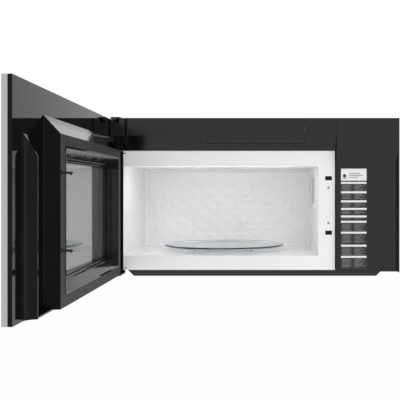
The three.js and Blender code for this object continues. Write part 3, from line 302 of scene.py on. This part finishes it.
def glass(name, color, rough):
    """Clear glass with a slight waviness."""
    s = Surface(name, color, rough)
    s.set("Transmission Weight", 1.0)
    s.polish(s.noise(8.0, 5.0), 0.012)
    s.relief(s.noise(3.0, 2.0), 0.0002, 0.15)
    return s.material


def perforated(name):
    """The door screen: round holes in staggered rows in dark painted sheet."""
    s = Surface(name, (0.020, 0.020, 0.022), 0.45, 0.3)
    pitch = 0.0026
    row_height = 0.866  # of the pitch
    hole_radius = 0.46  # of the pitch
    v = math_node(s, "DIVIDE", axis_of(s, "Object", "Z"), pitch * row_height)
    row = math_node(s, "FLOOR", v)
    odd = math_node(s, "MULTIPLY", math_node(s, "PINGPONG", row, 1.0), 0.5)
    u = math_node(s, "ADD", math_node(s, "DIVIDE", axis_of(s, "Object", "Y"), pitch), odd)
    du = math_node(s, "SUBTRACT", math_node(s, "FRACT", u), 0.5)
    dv = math_node(s, "MULTIPLY", math_node(s, "SUBTRACT", math_node(s, "FRACT", v), 0.5), row_height)
    squares = math_node(s, "ADD", math_node(s, "POWER", du, 2.0), math_node(s, "POWER", dv, 2.0))
    hole = math_node(s, "LESS_THAN", math_node(s, "SQRT", squares), hole_radius)
    s.mottle(s.noise(20.0, 3.0), (0.030, 0.030, 0.032), 0.8)
    s.link(math_node(s, "SUBTRACT", 1.0, hole), s.shader.inputs["Alpha"])
    return s.material


def winding(name):
    """Transformer: varnished copper winding in fine bands."""
    s = Surface(name, (0.32, 0.13, 0.045), 0.38, 0.8)
    wave = s.node("ShaderNodeTexWave", wave_type="BANDS", bands_direction="Z")
    wave.inputs["Scale"].default_value = 300.0
    wave.inputs["Distortion"].default_value = 0.3
    s.link(s.place(), wave.inputs["Vector"])
    s.mottle(wave.outputs["Fac"], (0.14, 0.05, 0.02), 0.8)
    s.mottle(s.noise(25.0, 4.0), (0.22, 0.09, 0.03), 0.6)
    s.polish(s.noise(60.0, 3.0), 0.1)
    s.relief(wave.outputs["Fac"], 0.0003)
    return s.material


def circuit(name):
    """Printed board: green mask with paler tracks and solder pads."""
    s = Surface(name, (0.012, 0.085, 0.035), 0.35)
    brick = s.node("ShaderNodeTexBrick")
    brick.inputs["Scale"].default_value = 90.0
    brick.inputs["Mortar Size"].default_value = 0.05
    s.link(s.place((1, 1, 1), (math.radians(90), 0, 0)), brick.inputs["Vector"])
    s.mask(math_node(s, "MULTIPLY", brick.outputs["Fac"], 0.5), (0.05, 0.22, 0.10))
    dots = s.node("ShaderNodeTexVoronoi")
    dots.inputs["Scale"].default_value = 130.0
    s.link(s.place(), dots.inputs["Vector"])
    s.mask(math_node(s, "LESS_THAN", dots.outputs["Distance"], 0.14), (0.55, 0.56, 0.57))
    s.polish(s.noise(60.0, 3.0), 0.08)
    s.relief(s.noise(500.0, 3.0), 0.00005)
    return s.material


def granules(name):
    """Charcoal grains."""
    s = Surface(name, (0.02, 0.02, 0.02), 0.8)
    cells = s.node("ShaderNodeTexVoronoi")
    cells.inputs["Scale"].default_value = 330.0
    s.link(s.place(), cells.inputs["Vector"])
    s.mottle(cells.outputs["Distance"], (0.06, 0.06, 0.06), 0.8)
    s.polish(s.noise(40.0, 3.0), 0.1)
    s.relief(cells.outputs["Distance"], 0.0012)
    return s.material


PAINT = black_gloss("paint_black", (0.004, 0.004, 0.0045), 0.16, 0.00004)
GLOSS = black_gloss("moulding_black", (0.0022, 0.0022, 0.0026), 0.12, 0.00003, 0.42)
MIRROR_BLACK = black_gloss("moulding_black_polished", (0.003, 0.003, 0.0033), 0.035, 0.000004, 0.12)
# painted shade: a near-unreflecting black, used only for the skin that darkens the block's free side
SHADE_BLACK = black_gloss("moulding_black_painted_shade", (0.001, 0.001, 0.0012), 0.18, 0.00003, 0.08)
SATIN = black_satin("plastic_black")
STEEL_DOOR = brushed("steel_brushed", (0.50, 0.50, 0.505), 0.30, "y")
ZINC = zinc("zinc_sheet")
ENAMEL = enamel("enamel_white")
WHITE = plastic("plastic_white", (0.78, 0.78, 0.76))
ALUMINIUM = brushed("aluminium_satin", (0.70, 0.71, 0.72), 0.33, "x")
DARK_GLASS = front_glass("glass_printed")
BLOCK = block_black("moulding_black_block")
INNER_GLASS = glass("glass_inner", (0.62, 0.64, 0.64), 0.01)
CLEAR_GLASS = glass("glass_clear", (0.93, 0.97, 0.97), 0.02)
LENS = glass("lens_ribbed", (0.95, 0.97, 0.97), 0.12)
SCREEN = perforated("screen_perforated")
WINDING = winding("winding_copper")
CIRCUIT = circuit("circuit_board")
MICA = plastic("mica_sheet", (0.55, 0.50, 0.40), 0.5, 120.0, 0.0001)
CHARCOAL = granules("charcoal_granules")

CAD_MATERIALS = {
    "wall_plate": ZINC, "back_panel": ZINC, "base_plate": ZINC, "waveguide": ZINC, "blower_housing": ZINC,
    "turntable_motor": ZINC, "cooling_fan_motor": ZINC, "door_choke_ring": ZINC, "latch_spring": ZINC,
    "door_hinge_plate_top": PAINT, "door_hinge_plate_bottom": PAINT, "blower_shaft": ZINC,
    "outer_wrap": PAINT, "bottom_pan": PAINT, "hinge_bracket_top": PAINT, "hinge_bracket_bottom": PAINT,
    "top_fascia": GLOSS, "filter_access_panel": GLOSS, "side_fascia": GLOSS, "door_block_cover": BLOCK,
    "door_back_cover": MIRROR_BLACK, "door_end_cover": MIRROR_BLACK,
    "cord_gland": SATIN, "cooling_fan_shroud": SATIN, "blower_motor": SATIN, "interlock_switches": SATIN,
    "latch_lever": SATIN, "blower_wheel_left": SATIN, "blower_wheel_right": SATIN,
    "oven_cavity": ENAMEL, "waveguide_cover": MICA,
    "grease_filter_left": ALUMINIUM, "grease_filter_right": ALUMINIUM, "magnetron": ALUMINIUM,
    "hv_capacitor": ALUMINIUM, "hv_transformer": WINDING, "control_board": CIRCUIT, "touch_board": CIRCUIT,
    "light_lens_left": LENS, "light_lens_right": LENS,
    "cooktop_lamp_left": WHITE, "cooktop_lamp_right": WHITE,
    "cavity_lamp": WHITE, "latch_board": SATIN, "turntable_coupler": WHITE, "roller_ring": WHITE,
    "roller_1": WHITE, "roller_2": WHITE, "roller_3": WHITE, "cooling_fan_blade": WHITE,
    "charcoal_filter": CHARCOAL, "door_frame": STEEL_DOOR, "door_glass": DARK_GLASS, "door_screen": SCREEN,
    "door_window_glass": INNER_GLASS, "glass_tray": CLEAR_GLASS,
}
for node_name, node_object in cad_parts.items():
    node_object.data.materials.clear()
    node_object.data.materials.append(CAD_MATERIALS[node_name])


def piece(name, bm, material, body, bevel=0.0, smooth=False):
    """A named mesh that rides on a body."""
    bmesh.ops.recalc_face_normals(bm, faces=bm.faces)
    mesh = bpy.data.meshes.new(name)
    bm.to_mesh(mesh)
    bm.free()
    mesh.materials.append(material)
    made = bpy.data.objects.new(name, mesh)
    bpy.context.collection.objects.link(made)
    if smooth:
        for polygon in mesh.polygons:
            polygon.use_smooth = True
    if bevel:
        modifier = made.modifiers.new("edges", "BEVEL")
        modifier.width = bevel
        modifier.segments = 2
        modifier.limit_method = "ANGLE"
    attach(made, body)


def add_box(bm, low, high):
    size = Vector(high) - Vector(low)
    middle = (Vector(high) + Vector(low)) / 2
    matrix = Matrix.Translation(middle) @ Matrix.Diagonal((*size, 1.0))
    bmesh.ops.create_cube(bm, size=1.0, matrix=matrix)


def facing(axis):
    """A turn that takes Z to an axis."""
    return Vector(axis).to_track_quat("Z", "Y").to_matrix().to_4x4()


def add_lathe(bm, centre, axis, profile, sides=24):
    """A turned form: profile is a list of (radius, height) that starts and ends on the axis."""
    place = Matrix.Translation(centre) @ facing(axis)
    rings = []
    for radius, height in profile:
        if radius == 0:
            rings.append([bm.verts.new(place @ Vector((0, 0, height)))])
            continue
        ring = []
        for i in range(sides):
            angle = 2 * math.pi * i / sides
            point = Vector((radius * math.cos(angle), radius * math.sin(angle), height))
            ring.append(bm.verts.new(place @ point))
        rings.append(ring)
    for low, high in zip(rings, rings[1:]):
        for i in range(sides):
            j = (i + 1) % sides
            if len(low) == 1:
                bm.faces.new((low[0], high[i], high[j]))
            elif len(high) == 1:
                bm.faces.new((low[i], low[j], high[0]))
            else:
                bm.faces.new((low[i], low[j], high[j], high[i]))


def close_solid(bm, low, high):
    """The faces of a solid between two rings with as many corners."""
    bm.faces.new(low)
    bm.faces.new(high)
    for i in range(len(low)):
        j = (i + 1) % len(low)
        bm.faces.new((low[i], low[j], high[j], high[i]))


def prism(bm, outline, low, high):
    """An upright prism over an (x, y) outline."""
    close_solid(bm, *([bm.verts.new((x, y, z)) for x, y in outline] for z in (low, high)))


def add_screw(bm, centre, axis, radius=0.0034, rise=0.0016):
    """A pan head with a cross recess, as a turned head with four raised quarters."""
    crown = rise * 0.8
    head = [(0, 0), (radius, 0), (radius, rise * 0.45), (radius * 0.86, crown), (0, crown)]
    add_lathe(bm, centre, axis, head, 20)
    place = Matrix.Translation(centre) @ facing(axis)
    gap, reach, shoulder = radius * 0.13, radius * 0.68, radius * 0.48
    quarter = ((gap, gap), (reach, gap), (shoulder, shoulder), (gap, reach))
    for sx in (-1, 1):
        for sy in (-1, 1):
            rings = []
            for z in (rise * 0.75, rise):
                rings.append([bm.verts.new(place @ Vector((sx * x, sy * y, z))) for x, y in quarter])
            close_solid(bm, *rings)


# ---- oven: quilted relief on the back wall
def back_relief():
    """Low pyramids on a square lattice, flat at the border and closed behind."""
    x0, x1 = -0.3385, 0.1555
    z0, z1 = h(66.0), h(280.0)
    wall = -0.0141  # the cavity's back wall
    lift, rise = 0.0002, 0.0021  # of the border and of the peaks
    columns, rows = 10, 5
    width, height = (x1 - x0) / columns, (z1 - z0) / rows
    bm = bmesh.new()
    grid = {}

    def corner(i, j):
        """Lattice points at every half cell; those whose indices add to an odd number are the peaks."""
        if (i, j) not in grid:
            peak = (i + j) % 2 == 1
            border = i in (0, 2 * columns) or j in (0, 2 * rows)
            y = wall - lift - (rise if peak and not border else 0.0)
            grid[i, j] = bm.verts.new((x0 + width * i / 2, y, z0 + height * j / 2))
        return grid[i, j]

    for i in range(2 * columns):
        for j in range(2 * rows):
            a, b, c, d = corner(i, j), corner(i + 1, j), corner(i + 1, j + 1), corner(i, j + 1)
            if (i + j) % 2 == 0:
                bm.faces.new((a, b, c))
                bm.faces.new((a, c, d))
            else:
                bm.faces.new((a, b, d))
                bm.faces.new((b, c, d))
    made = bmesh.ops.extrude_edge_only(bm, edges=[e for e in bm.edges if e.is_boundary])
    for v in made["geom"]:
        if isinstance(v, bmesh.types.BMVert):
            v.co.y = wall
    bmesh.ops.contextual_create(bm, geom=[e for e in bm.edges if e.is_boundary])
    piece("cavity_back_relief", bm, ENAMEL, "chassis", bevel=0.0015)


back_relief()

# ---- oven: small round plugs, hinge slot and screw on the white face
PLUG = [(0, -0.0004), (0.0027, -0.0004), (0.0027, 0.0003), (0.0019, 0.0008), (0, 0.001)]
bm = bmesh.new()
for height in (235.0, 141.0):
    add_lathe(bm, (0.1953, FACE, h(height)), (0, -1, 0), PLUG, 20)
PLUG_GREY = plastic("plug_grey", (0.14, 0.14, 0.145))
piece("face_plugs", bm, PLUG_GREY, "chassis", smooth=True)

bm = bmesh.new()
add_box(bm, (-0.3600, FACE - 0.0006, h(324.6)), (-0.3430, FACE - 0.00005, h(327.4)))
piece("face_hinge_slot", bm, SATIN, "chassis", bevel=0.0005)

bm = bmesh.new()
add_screw(bm, (-0.3447, FACE - 0.0001, h(20.6)), (0, -1, 0), 0.0026, 0.0012)
piece("face_screw", bm, ZINC, "chassis")

# ---- hinge side: a black strip down the face's edge as painted shade of the gap beside the door, end cap of the band, sleeve round the upper pin
BAND_X, BAND_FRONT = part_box("top_fascia")[0][:2]  # the band's hinge end and its front
TOP = h(417.5)

# painted shade: a glossy black strip over the white face's hinge edge, standing in for the shadow in the
# gap between door and face
bm = bmesh.new()
add_box(bm, (-0.3710, FACE - 0.0032, h(16.5)), (-0.3500, FACE - 0.0004, h(332.0)))
piece("face_edge_painted_shade", bm, GLOSS, "chassis", bevel=0.0006)

# The cap's nose is round about the hinge axis, so the door turns past it.
NOSE = 0.0108
bm = bmesh.new()
end, behind = BAND_X - 0.0002, FACE - 0.0004
cap = [(end, BAND_FRONT + 0.0002)]
for i in range(9):
    angle = math.radians(212 - 9 * i)
    cap.append((HINGE_X + NOSE * math.cos(angle), HINGE_Y + NOSE * math.sin(angle)))
cap += [(HINGE_X - 0.0078, HINGE_Y + 0.008), (HINGE_X - 0.0078, behind), (end, behind)]
prism(bm, cap, h(349.0), h(412.0))
piece("band_end_cap", bm, GLOSS, "chassis", bevel=0.0004)

SLEEVE = [(0, 0), (0.0085, 0), (0.0085, 0.0013), (0, 0.0013)]
bm = bmesh.new()
add_lathe(bm, (HINGE_X, HINGE_Y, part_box("hinge_bracket_top")[0][2] - 0.0002), (0, 0, -1), SLEEVE, 28)
piece("hinge_sleeve", bm, PAINT, "chassis")

# ---- door: a darker skin on the block's free side, painted shade on that slope
BLOCK_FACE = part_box("door_block_cover")[1][0]


def block_side_painted_shade():
    """A thin skin over the slope between the back cover and the block's broad face, in a darker, duller
    black: painted shade.
    """
    base, face = -0.3812, BLOCK_FACE
    base_y, face_y = HINGE_Y - 0.5833, HINGE_Y - 0.5733
    slope = (base_y - face_y) / (face - base)
    foot, base_top, face_top = h(7.2), h(332.7 + 33.7), h(332.7)
    edge, skin = 0.0004, 0.00015  # kept clear of the block's edges, and the skin's thickness
    bm = bmesh.new()
    corners = []
    for out in (0.0, skin):
        low_end = (base + edge, base_y - out, base_top - 0.0012)
        high_end = (face - edge, face_y + slope * edge - out, face_top + 0.0002)
        for x, y, z_top in (low_end, high_end):
            corners.append(bm.verts.new((x, y, foot)))
            corners.append(bm.verts.new((x, y, z_top)))
    a, b, c, d, e, f, g, k = corners
    for sides in ((a, b, d, c), (e, f, k, g), (a, b, f, e), (c, d, k, g), (a, c, g, e), (b, d, k, f)):
        bm.faces.new(sides)
    piece("block_side_painted_shade", bm, SHADE_BLACK, "door")


block_side_painted_shade()

# ---- door: lines round the window recess
# The recess's mouth: its free side, hinge side, foot and top.
MOUTH = (HINGE_Y - 0.5373, HINGE_Y - 0.035, h(33.6), h(308.1))
RECESS_DEPTH, RECESS_SLOPE = 0.0266, 0.024  # how deep it goes, and how far three sides lean in on the way
CORNER = 0.009


def corner_path(y0, y1, z0, z1, radius, steps=6):
    """A rectangle with round corners in (y, z)."""
    points = []
    near, far, low, high = y0 + radius, y1 - radius, z0 + radius, z1 - radius
    for y, z, start in ((far, high, 0), (near, high, 90), (near, low, 180), (far, low, 270)):
        for i in range(steps + 1):
            angle = math.radians(start + 90 * i / steps)
            points.append((y + radius * math.cos(angle), z + radius * math.sin(angle)))
    return points


def add_rim(bm, x0, x1, outer, inner):
    """A flat rim between two closed paths with as many points, from x0 to x1."""
    count = len(outer)
    turns = ((x0, outer), (x0, inner), (x1, inner), (x1, outer))
    loops = [[bm.verts.new((x, y, z)) for y, z in path] for x, path in turns]
    for a, b in zip(loops, loops[1:] + loops[:1]):
        for i in range(count):
            j = (i + 1) % count
            bm.faces.new((a[i], a[j], b[j], b[i]))


def recess_rim(name, depth, grow, width, rise):
    """A rim round the recess at a depth below the block's face; the hinge side doesn't lean in."""
    y0, y1, z0, z1 = MOUTH
    lean = depth / RECESS_DEPTH * RECESS_SLOPE - grow

    def path(shrink, radius):
        inset = lean + shrink
        return corner_path(y0 + inset, y1 + grow - shrink, z0 + inset, z1 - inset, radius)

    bm = bmesh.new()
    x = BLOCK_FACE - depth
    add_rim(bm, x - 0.0004, x + rise, path(0.0, CORNER), path(width, CORNER - width * 0.6))
    piece(name, bm, MIRROR_BLACK, "door")


recess_rim("recess_lip", 0.0, 0.0042, 0.0040, 0.0009)
recess_rim("recess_bead_outer", 0.0185, 0.0003, 0.0016, 0.0013)
recess_rim("recess_bead_inner", 0.0235, 0.0003, 0.0016, 0.0013)

# ---- band: a wedge lip and a dark line beside it, at the seam
SEAM_FOOT, SEAM_TOP = h(371.6), TOP - 0.0012
LIP_X, LINE_X = (-0.3420, -0.3368), (-0.3366, -0.3342)
bm = bmesh.new()
wedge = [(LIP_X[0], BAND_FRONT), (LIP_X[1], BAND_FRONT), (LIP_X[1], BAND_FRONT - 0.0009)]
prism(bm, wedge, SEAM_FOOT, SEAM_TOP)
piece("band_seam_lip", bm, MIRROR_BLACK, "chassis")
bm = bmesh.new()
line_y = BAND_FRONT - 0.0001
line = [(LINE_X[0], BAND_FRONT), (LINE_X[1], BAND_FRONT), (LINE_X[1], line_y), (LINE_X[0], line_y)]
prism(bm, line, SEAM_FOOT, SEAM_TOP)
SEAM_BLACK = black_satin("seam_shadow", (0.001, 0.001, 0.001), 0.9)
piece("band_seam_shadow", bm, SEAM_BLACK, "chassis")

# ---- guide label on the column: blank header with a pictogram, then rows of bars, with no lettering
LABEL_X0, LABEL_X1 = 0.2275, 0.2960
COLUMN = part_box("side_fascia")[0][1] + 0.019  # lower column's plane
BAR_HEIGHTS = [247.5, 222.5, 198.5, 178.5, 158.5, 144.5, 115.5, 81.0, 51.5]
LABEL_FOOT = 19.0
GUIDE_GRAIN = (1500.0, 0.00001)


def label():
    """Film, header with bars, rules and pictogram, each a thin layer in front of the last."""
    y_film = COLUMN - 0.00012
    y_print = y_film - 0.00010
    y_ink = y_print - 0.00006
    gap = 0.00001
    film = black_satin("label_film", (0.012, 0.012, 0.013), 0.3, *GUIDE_GRAIN)
    white = plastic("label_white", (0.80, 0.80, 0.80), 0.45, *GUIDE_GRAIN)
    grey = plastic("label_grey", (0.30, 0.30, 0.31), 0.45, *GUIDE_GRAIN)
    ink = plastic("label_ink", (0.03, 0.03, 0.032), 0.5, *GUIDE_GRAIN)

    def printed(bm, x0, x1, middle, half):
        """A printed strip about a height."""
        add_box(bm, (x0, y_print, h(middle - half)), (x1, y_film - gap, h(middle + half)))

    bm = bmesh.new()
    add_box(bm, (LABEL_X0, y_film, h(LABEL_FOOT)), (LABEL_X1, COLUMN - 0.00002, h(285.5)))
    piece("guide_label_film", bm, film, "chassis", bevel=0.00003)

    bm = bmesh.new()
    margin = 0.0005
    printed(bm, LABEL_X0 + margin, LABEL_X1 - margin, 269.25, 15.75)
    for z in BAR_HEIGHTS:
        printed(bm, LABEL_X0 + margin, LABEL_X1 - margin, z, 2.6)
    piece("guide_label_bars", bm, white, "chassis")

    bm = bmesh.new()
    reaches = (0.052, 0.060, 0.047, 0.057)  # of the rules from their left end, in turn
    left = LABEL_X0 + 0.003
    for upper, lower in zip(BAR_HEIGHTS, BAR_HEIGHTS[1:] + [LABEL_FOOT]):
        z = upper - 6.0
        k = 0
        while z > lower + 5.0:
            reach = reaches[k % len(reaches)]
            printed(bm, left, left + reach * 0.42, z, 0.45)
            printed(bm, LABEL_X0 + 0.036, left + reach, z, 0.45)
            z -= 3.4
            k += 1
    piece("guide_label_rules", bm, grey, "chassis")

    # pictogram: a round dish over a base line, and blank rules beside it
    bm = bmesh.new()
    cx, cz = LABEL_X0 + 0.010, h(266.0)
    disc = [(0, gap), (0.0046, gap), (0.0046, 0.00006), (0, 0.00006)]
    add_lathe(bm, (cx, y_print, cz), (0, -1, 0), disc, 28)
    add_box(bm, (cx - 0.0058, y_ink, cz - 0.0072), (cx + 0.0058, y_print - gap, cz - 0.0058))
    for z, x_end in ((272.0, 0.052), (267.0, 0.058), (262.0, 0.046)):
        low = (LABEL_X0 + 0.022, y_ink, h(z - 0.7))
        add_box(bm, low, (LABEL_X0 + x_end, y_print - gap, h(z + 0.7)))
    piece("guide_label_pictogram", bm, ink, "chassis")


label()

# ---- screws on the back, the top brackets and the pan
bm = bmesh.new()
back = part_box("back_panel")[1][1] + 0.0001
for x in (-0.366, 0.366):
    for z in (-0.17, -0.06, 0.06, 0.17):
        add_screw(bm, (x, back, z), (0, 1, 0))
piece("back_screws", bm, ZINC, "chassis")

SUNK = 0.0010  # how far the heads are let into the top and the foot, which have to stay flat
bm = bmesh.new()
bracket_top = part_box("hinge_bracket_top")[1][2]
for y in (-0.352, -0.366):
    add_screw(bm, (-0.3652, y, bracket_top - 0.0011), (0, 0, 1), 0.0032, 0.0015)
wrap_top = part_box("outer_wrap")[1][2]
for x in (-0.30, -0.15, 0.15, 0.30):
    add_screw(bm, (x, -0.371, wrap_top - SUNK), (0, 0, 1), 0.0030, 0.0014)
piece("top_screws", bm, ZINC, "chassis")

bm = bmesh.new()
pan_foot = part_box("bottom_pan")[0][2]
for x in (-0.308, 0.0, 0.308):
    for y in (-0.372, -0.020):
        add_screw(bm, (x, y, pan_foot + SUNK), (0, 0, -1), 0.0030, 0.0014)
piece("pan_screws", bm, ZINC, "chassis")

# ---- grease filters: expanded metal in the recess of each frame
MESH_PITCH, MESH_WIRE = 0.0072, 0.0005
MESH_SLOPE = 0.5  # rise of the strands across the filter
SHORTEST = 0.004  # strands shorter than this are left out


def clip(a, b, low, high):
    """The part of the line from a to b whose y lies between two values, or nothing."""
    ends = []
    for (x, y), (far_x, far_y) in ((a, b), (b, a)):
        limit = min(max(y, low), high)
        if limit != y:
            share = (limit - y) / (far_y - y)
            if not 0 <= share <= 1:
                return None
            x, y = x + (far_x - x) * share, limit
        ends.append((x, y))
    return ends


def grease_mesh(side):
    """Two crossing sets of slanted strands, one a little above the other."""
    low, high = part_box(f"grease_filter_{side}")
    inset = 0.0145
    x0, x1, y0, y1 = low[0] + inset, high[0] - inset, low[1] + inset, high[1] - inset
    z = low[2] + 0.0004
    climb = (x1 - x0) * MESH_SLOPE
    bm = bmesh.new()
    for way in (-1, 1):
        start = y0 - climb if way > 0 else y0
        for k in range(int(((y1 - y0) + climb) / MESH_PITCH) + 1):
            y = start + k * MESH_PITCH
            ends = clip((x0, y), (x1, y + way * climb), y0, y1)
            if ends is None:
                continue
            (xa, ya), (xb, yb) = ends
            run = Vector((xb - xa, yb - ya, 0))
            if run.length < SHORTEST:
                continue
            middle = ((xa + xb) / 2, (ya + yb) / 2, z + (0.0002 if way > 0 else 0))
            turn = Matrix.Rotation(math.atan2(run.y, run.x), 4, "Z")
            size = Matrix.Diagonal((run.length, MESH_WIRE * 2, MESH_WIRE, 1.0))
            bmesh.ops.create_cube(bm, size=1.0, matrix=Matrix.Translation(middle) @ turn @ size)
    piece(f"grease_mesh_{side}", bm, ALUMINIUM, "chassis")


# ---- lens ribs below the lamps
def lens_ribs(side):
    low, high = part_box(f"light_lens_{side}")
    border, pitch, rib = 0.007, 0.003, 0.0012
    bm = bmesh.new()
    x = low[0] + border
    while x < high[0] - border:
        add_box(bm, (x, low[1] + border, low[2] - 0.0003), (x + rib, high[1] - border, low[2] + 0.0002))
        x += pitch
    piece(f"lens_ribs_{side}", bm, LENS, "chassis", bevel=0.0002)


for side in ("left", "right"):
    grease_mesh(side)
for side in ("left", "right"):
    lens_ribs(side)

# ---------------------------------------------------------------- light and stage
world = bpy.data.worlds.new("world")
bpy.context.scene.world = world
world.use_nodes = True
background = world.node_tree.nodes["Background"]
background.inputs["Color"].default_value = (1, 1, 1, 1)
background.inputs["Strength"].default_value = 1.0


def area(name, location, target, size, energy):
    """An area lamp aimed at a point, which lights the object and isn't seen."""
    data = bpy.data.lights.new(name, "AREA")
    data.shape = "RECTANGLE"
    data.size, data.size_y = size
    data.energy = energy
    lamp = bpy.data.objects.new(name, data)
    lamp.location = location
    lamp.rotation_euler = (Vector(target) - Vector(location)).to_track_quat("-Z", "Y").to_euler()
    lamp.visible_glossy = False
    lamp.visible_camera = False
    bpy.context.collection.objects.link(lamp)


area("key", (0.7, -3.4, 1.3), (-0.1, -0.3, 0.0), (1.6, 1.2), 15.0)
area("cavity", (OVEN_X, -0.372, 0.06), (OVEN_X, 0.0, -0.05), (0.42, 0.06), 0.5)

# A pale floor that glows for the camera and in reflections, and still takes the object's shadow.
FLOOR_Z = -0.95
GLOW_SHARE = 0.85
REACH = 6
floor_mesh = bpy.data.meshes.new("floor")
floor_corners = [(-REACH, -REACH, 0), (REACH, -REACH, 0), (REACH, REACH, 0), (-REACH, REACH, 0)]
floor_mesh.from_pydata(floor_corners, [], [(0, 1, 2, 3)])
floor = bpy.data.objects.new("floor", floor_mesh)
floor.location = (0, 0, FLOOR_Z)
bpy.context.collection.objects.link(floor)
pale = bpy.data.materials.new("floor_pale")
pale.use_nodes = True
tree = pale.node_tree
base = tree.nodes["Principled BSDF"]
base.inputs["Base Color"].default_value = (0.9, 0.9, 0.9, 1)
base.inputs["Roughness"].default_value = 0.9
glow = tree.nodes.new("ShaderNodeEmission")
glow.inputs["Strength"].default_value = 1.0
path = tree.nodes.new("ShaderNodeLightPath")
seen = path.outputs["Is Camera Ray"]
for name in ("Is Glossy Ray", "Is Transmission Ray"):
    either = tree.nodes.new("ShaderNodeMath")
    either.operation = "MAXIMUM"
    tree.links.new(seen, either.inputs[0])
    tree.links.new(path.outputs[name], either.inputs[1])
    seen = either.outputs[0]
share = tree.nodes.new("ShaderNodeMath")
share.operation = "MULTIPLY"
share.inputs[1].default_value = GLOW_SHARE
tree.links.new(seen, share.inputs[0])
blend = tree.nodes.new("ShaderNodeMixShader")
tree.links.new(share.outputs[0], blend.inputs[0])
tree.links.new(base.outputs[0], blend.inputs[1])
tree.links.new(glow.outputs[0], blend.inputs[2])
tree.links.new(blend.outputs[0], tree.nodes["Material Output"].inputs[0])
floor_mesh.materials.append(pale)

bpy.context.scene.view_settings.view_transform = "Standard"
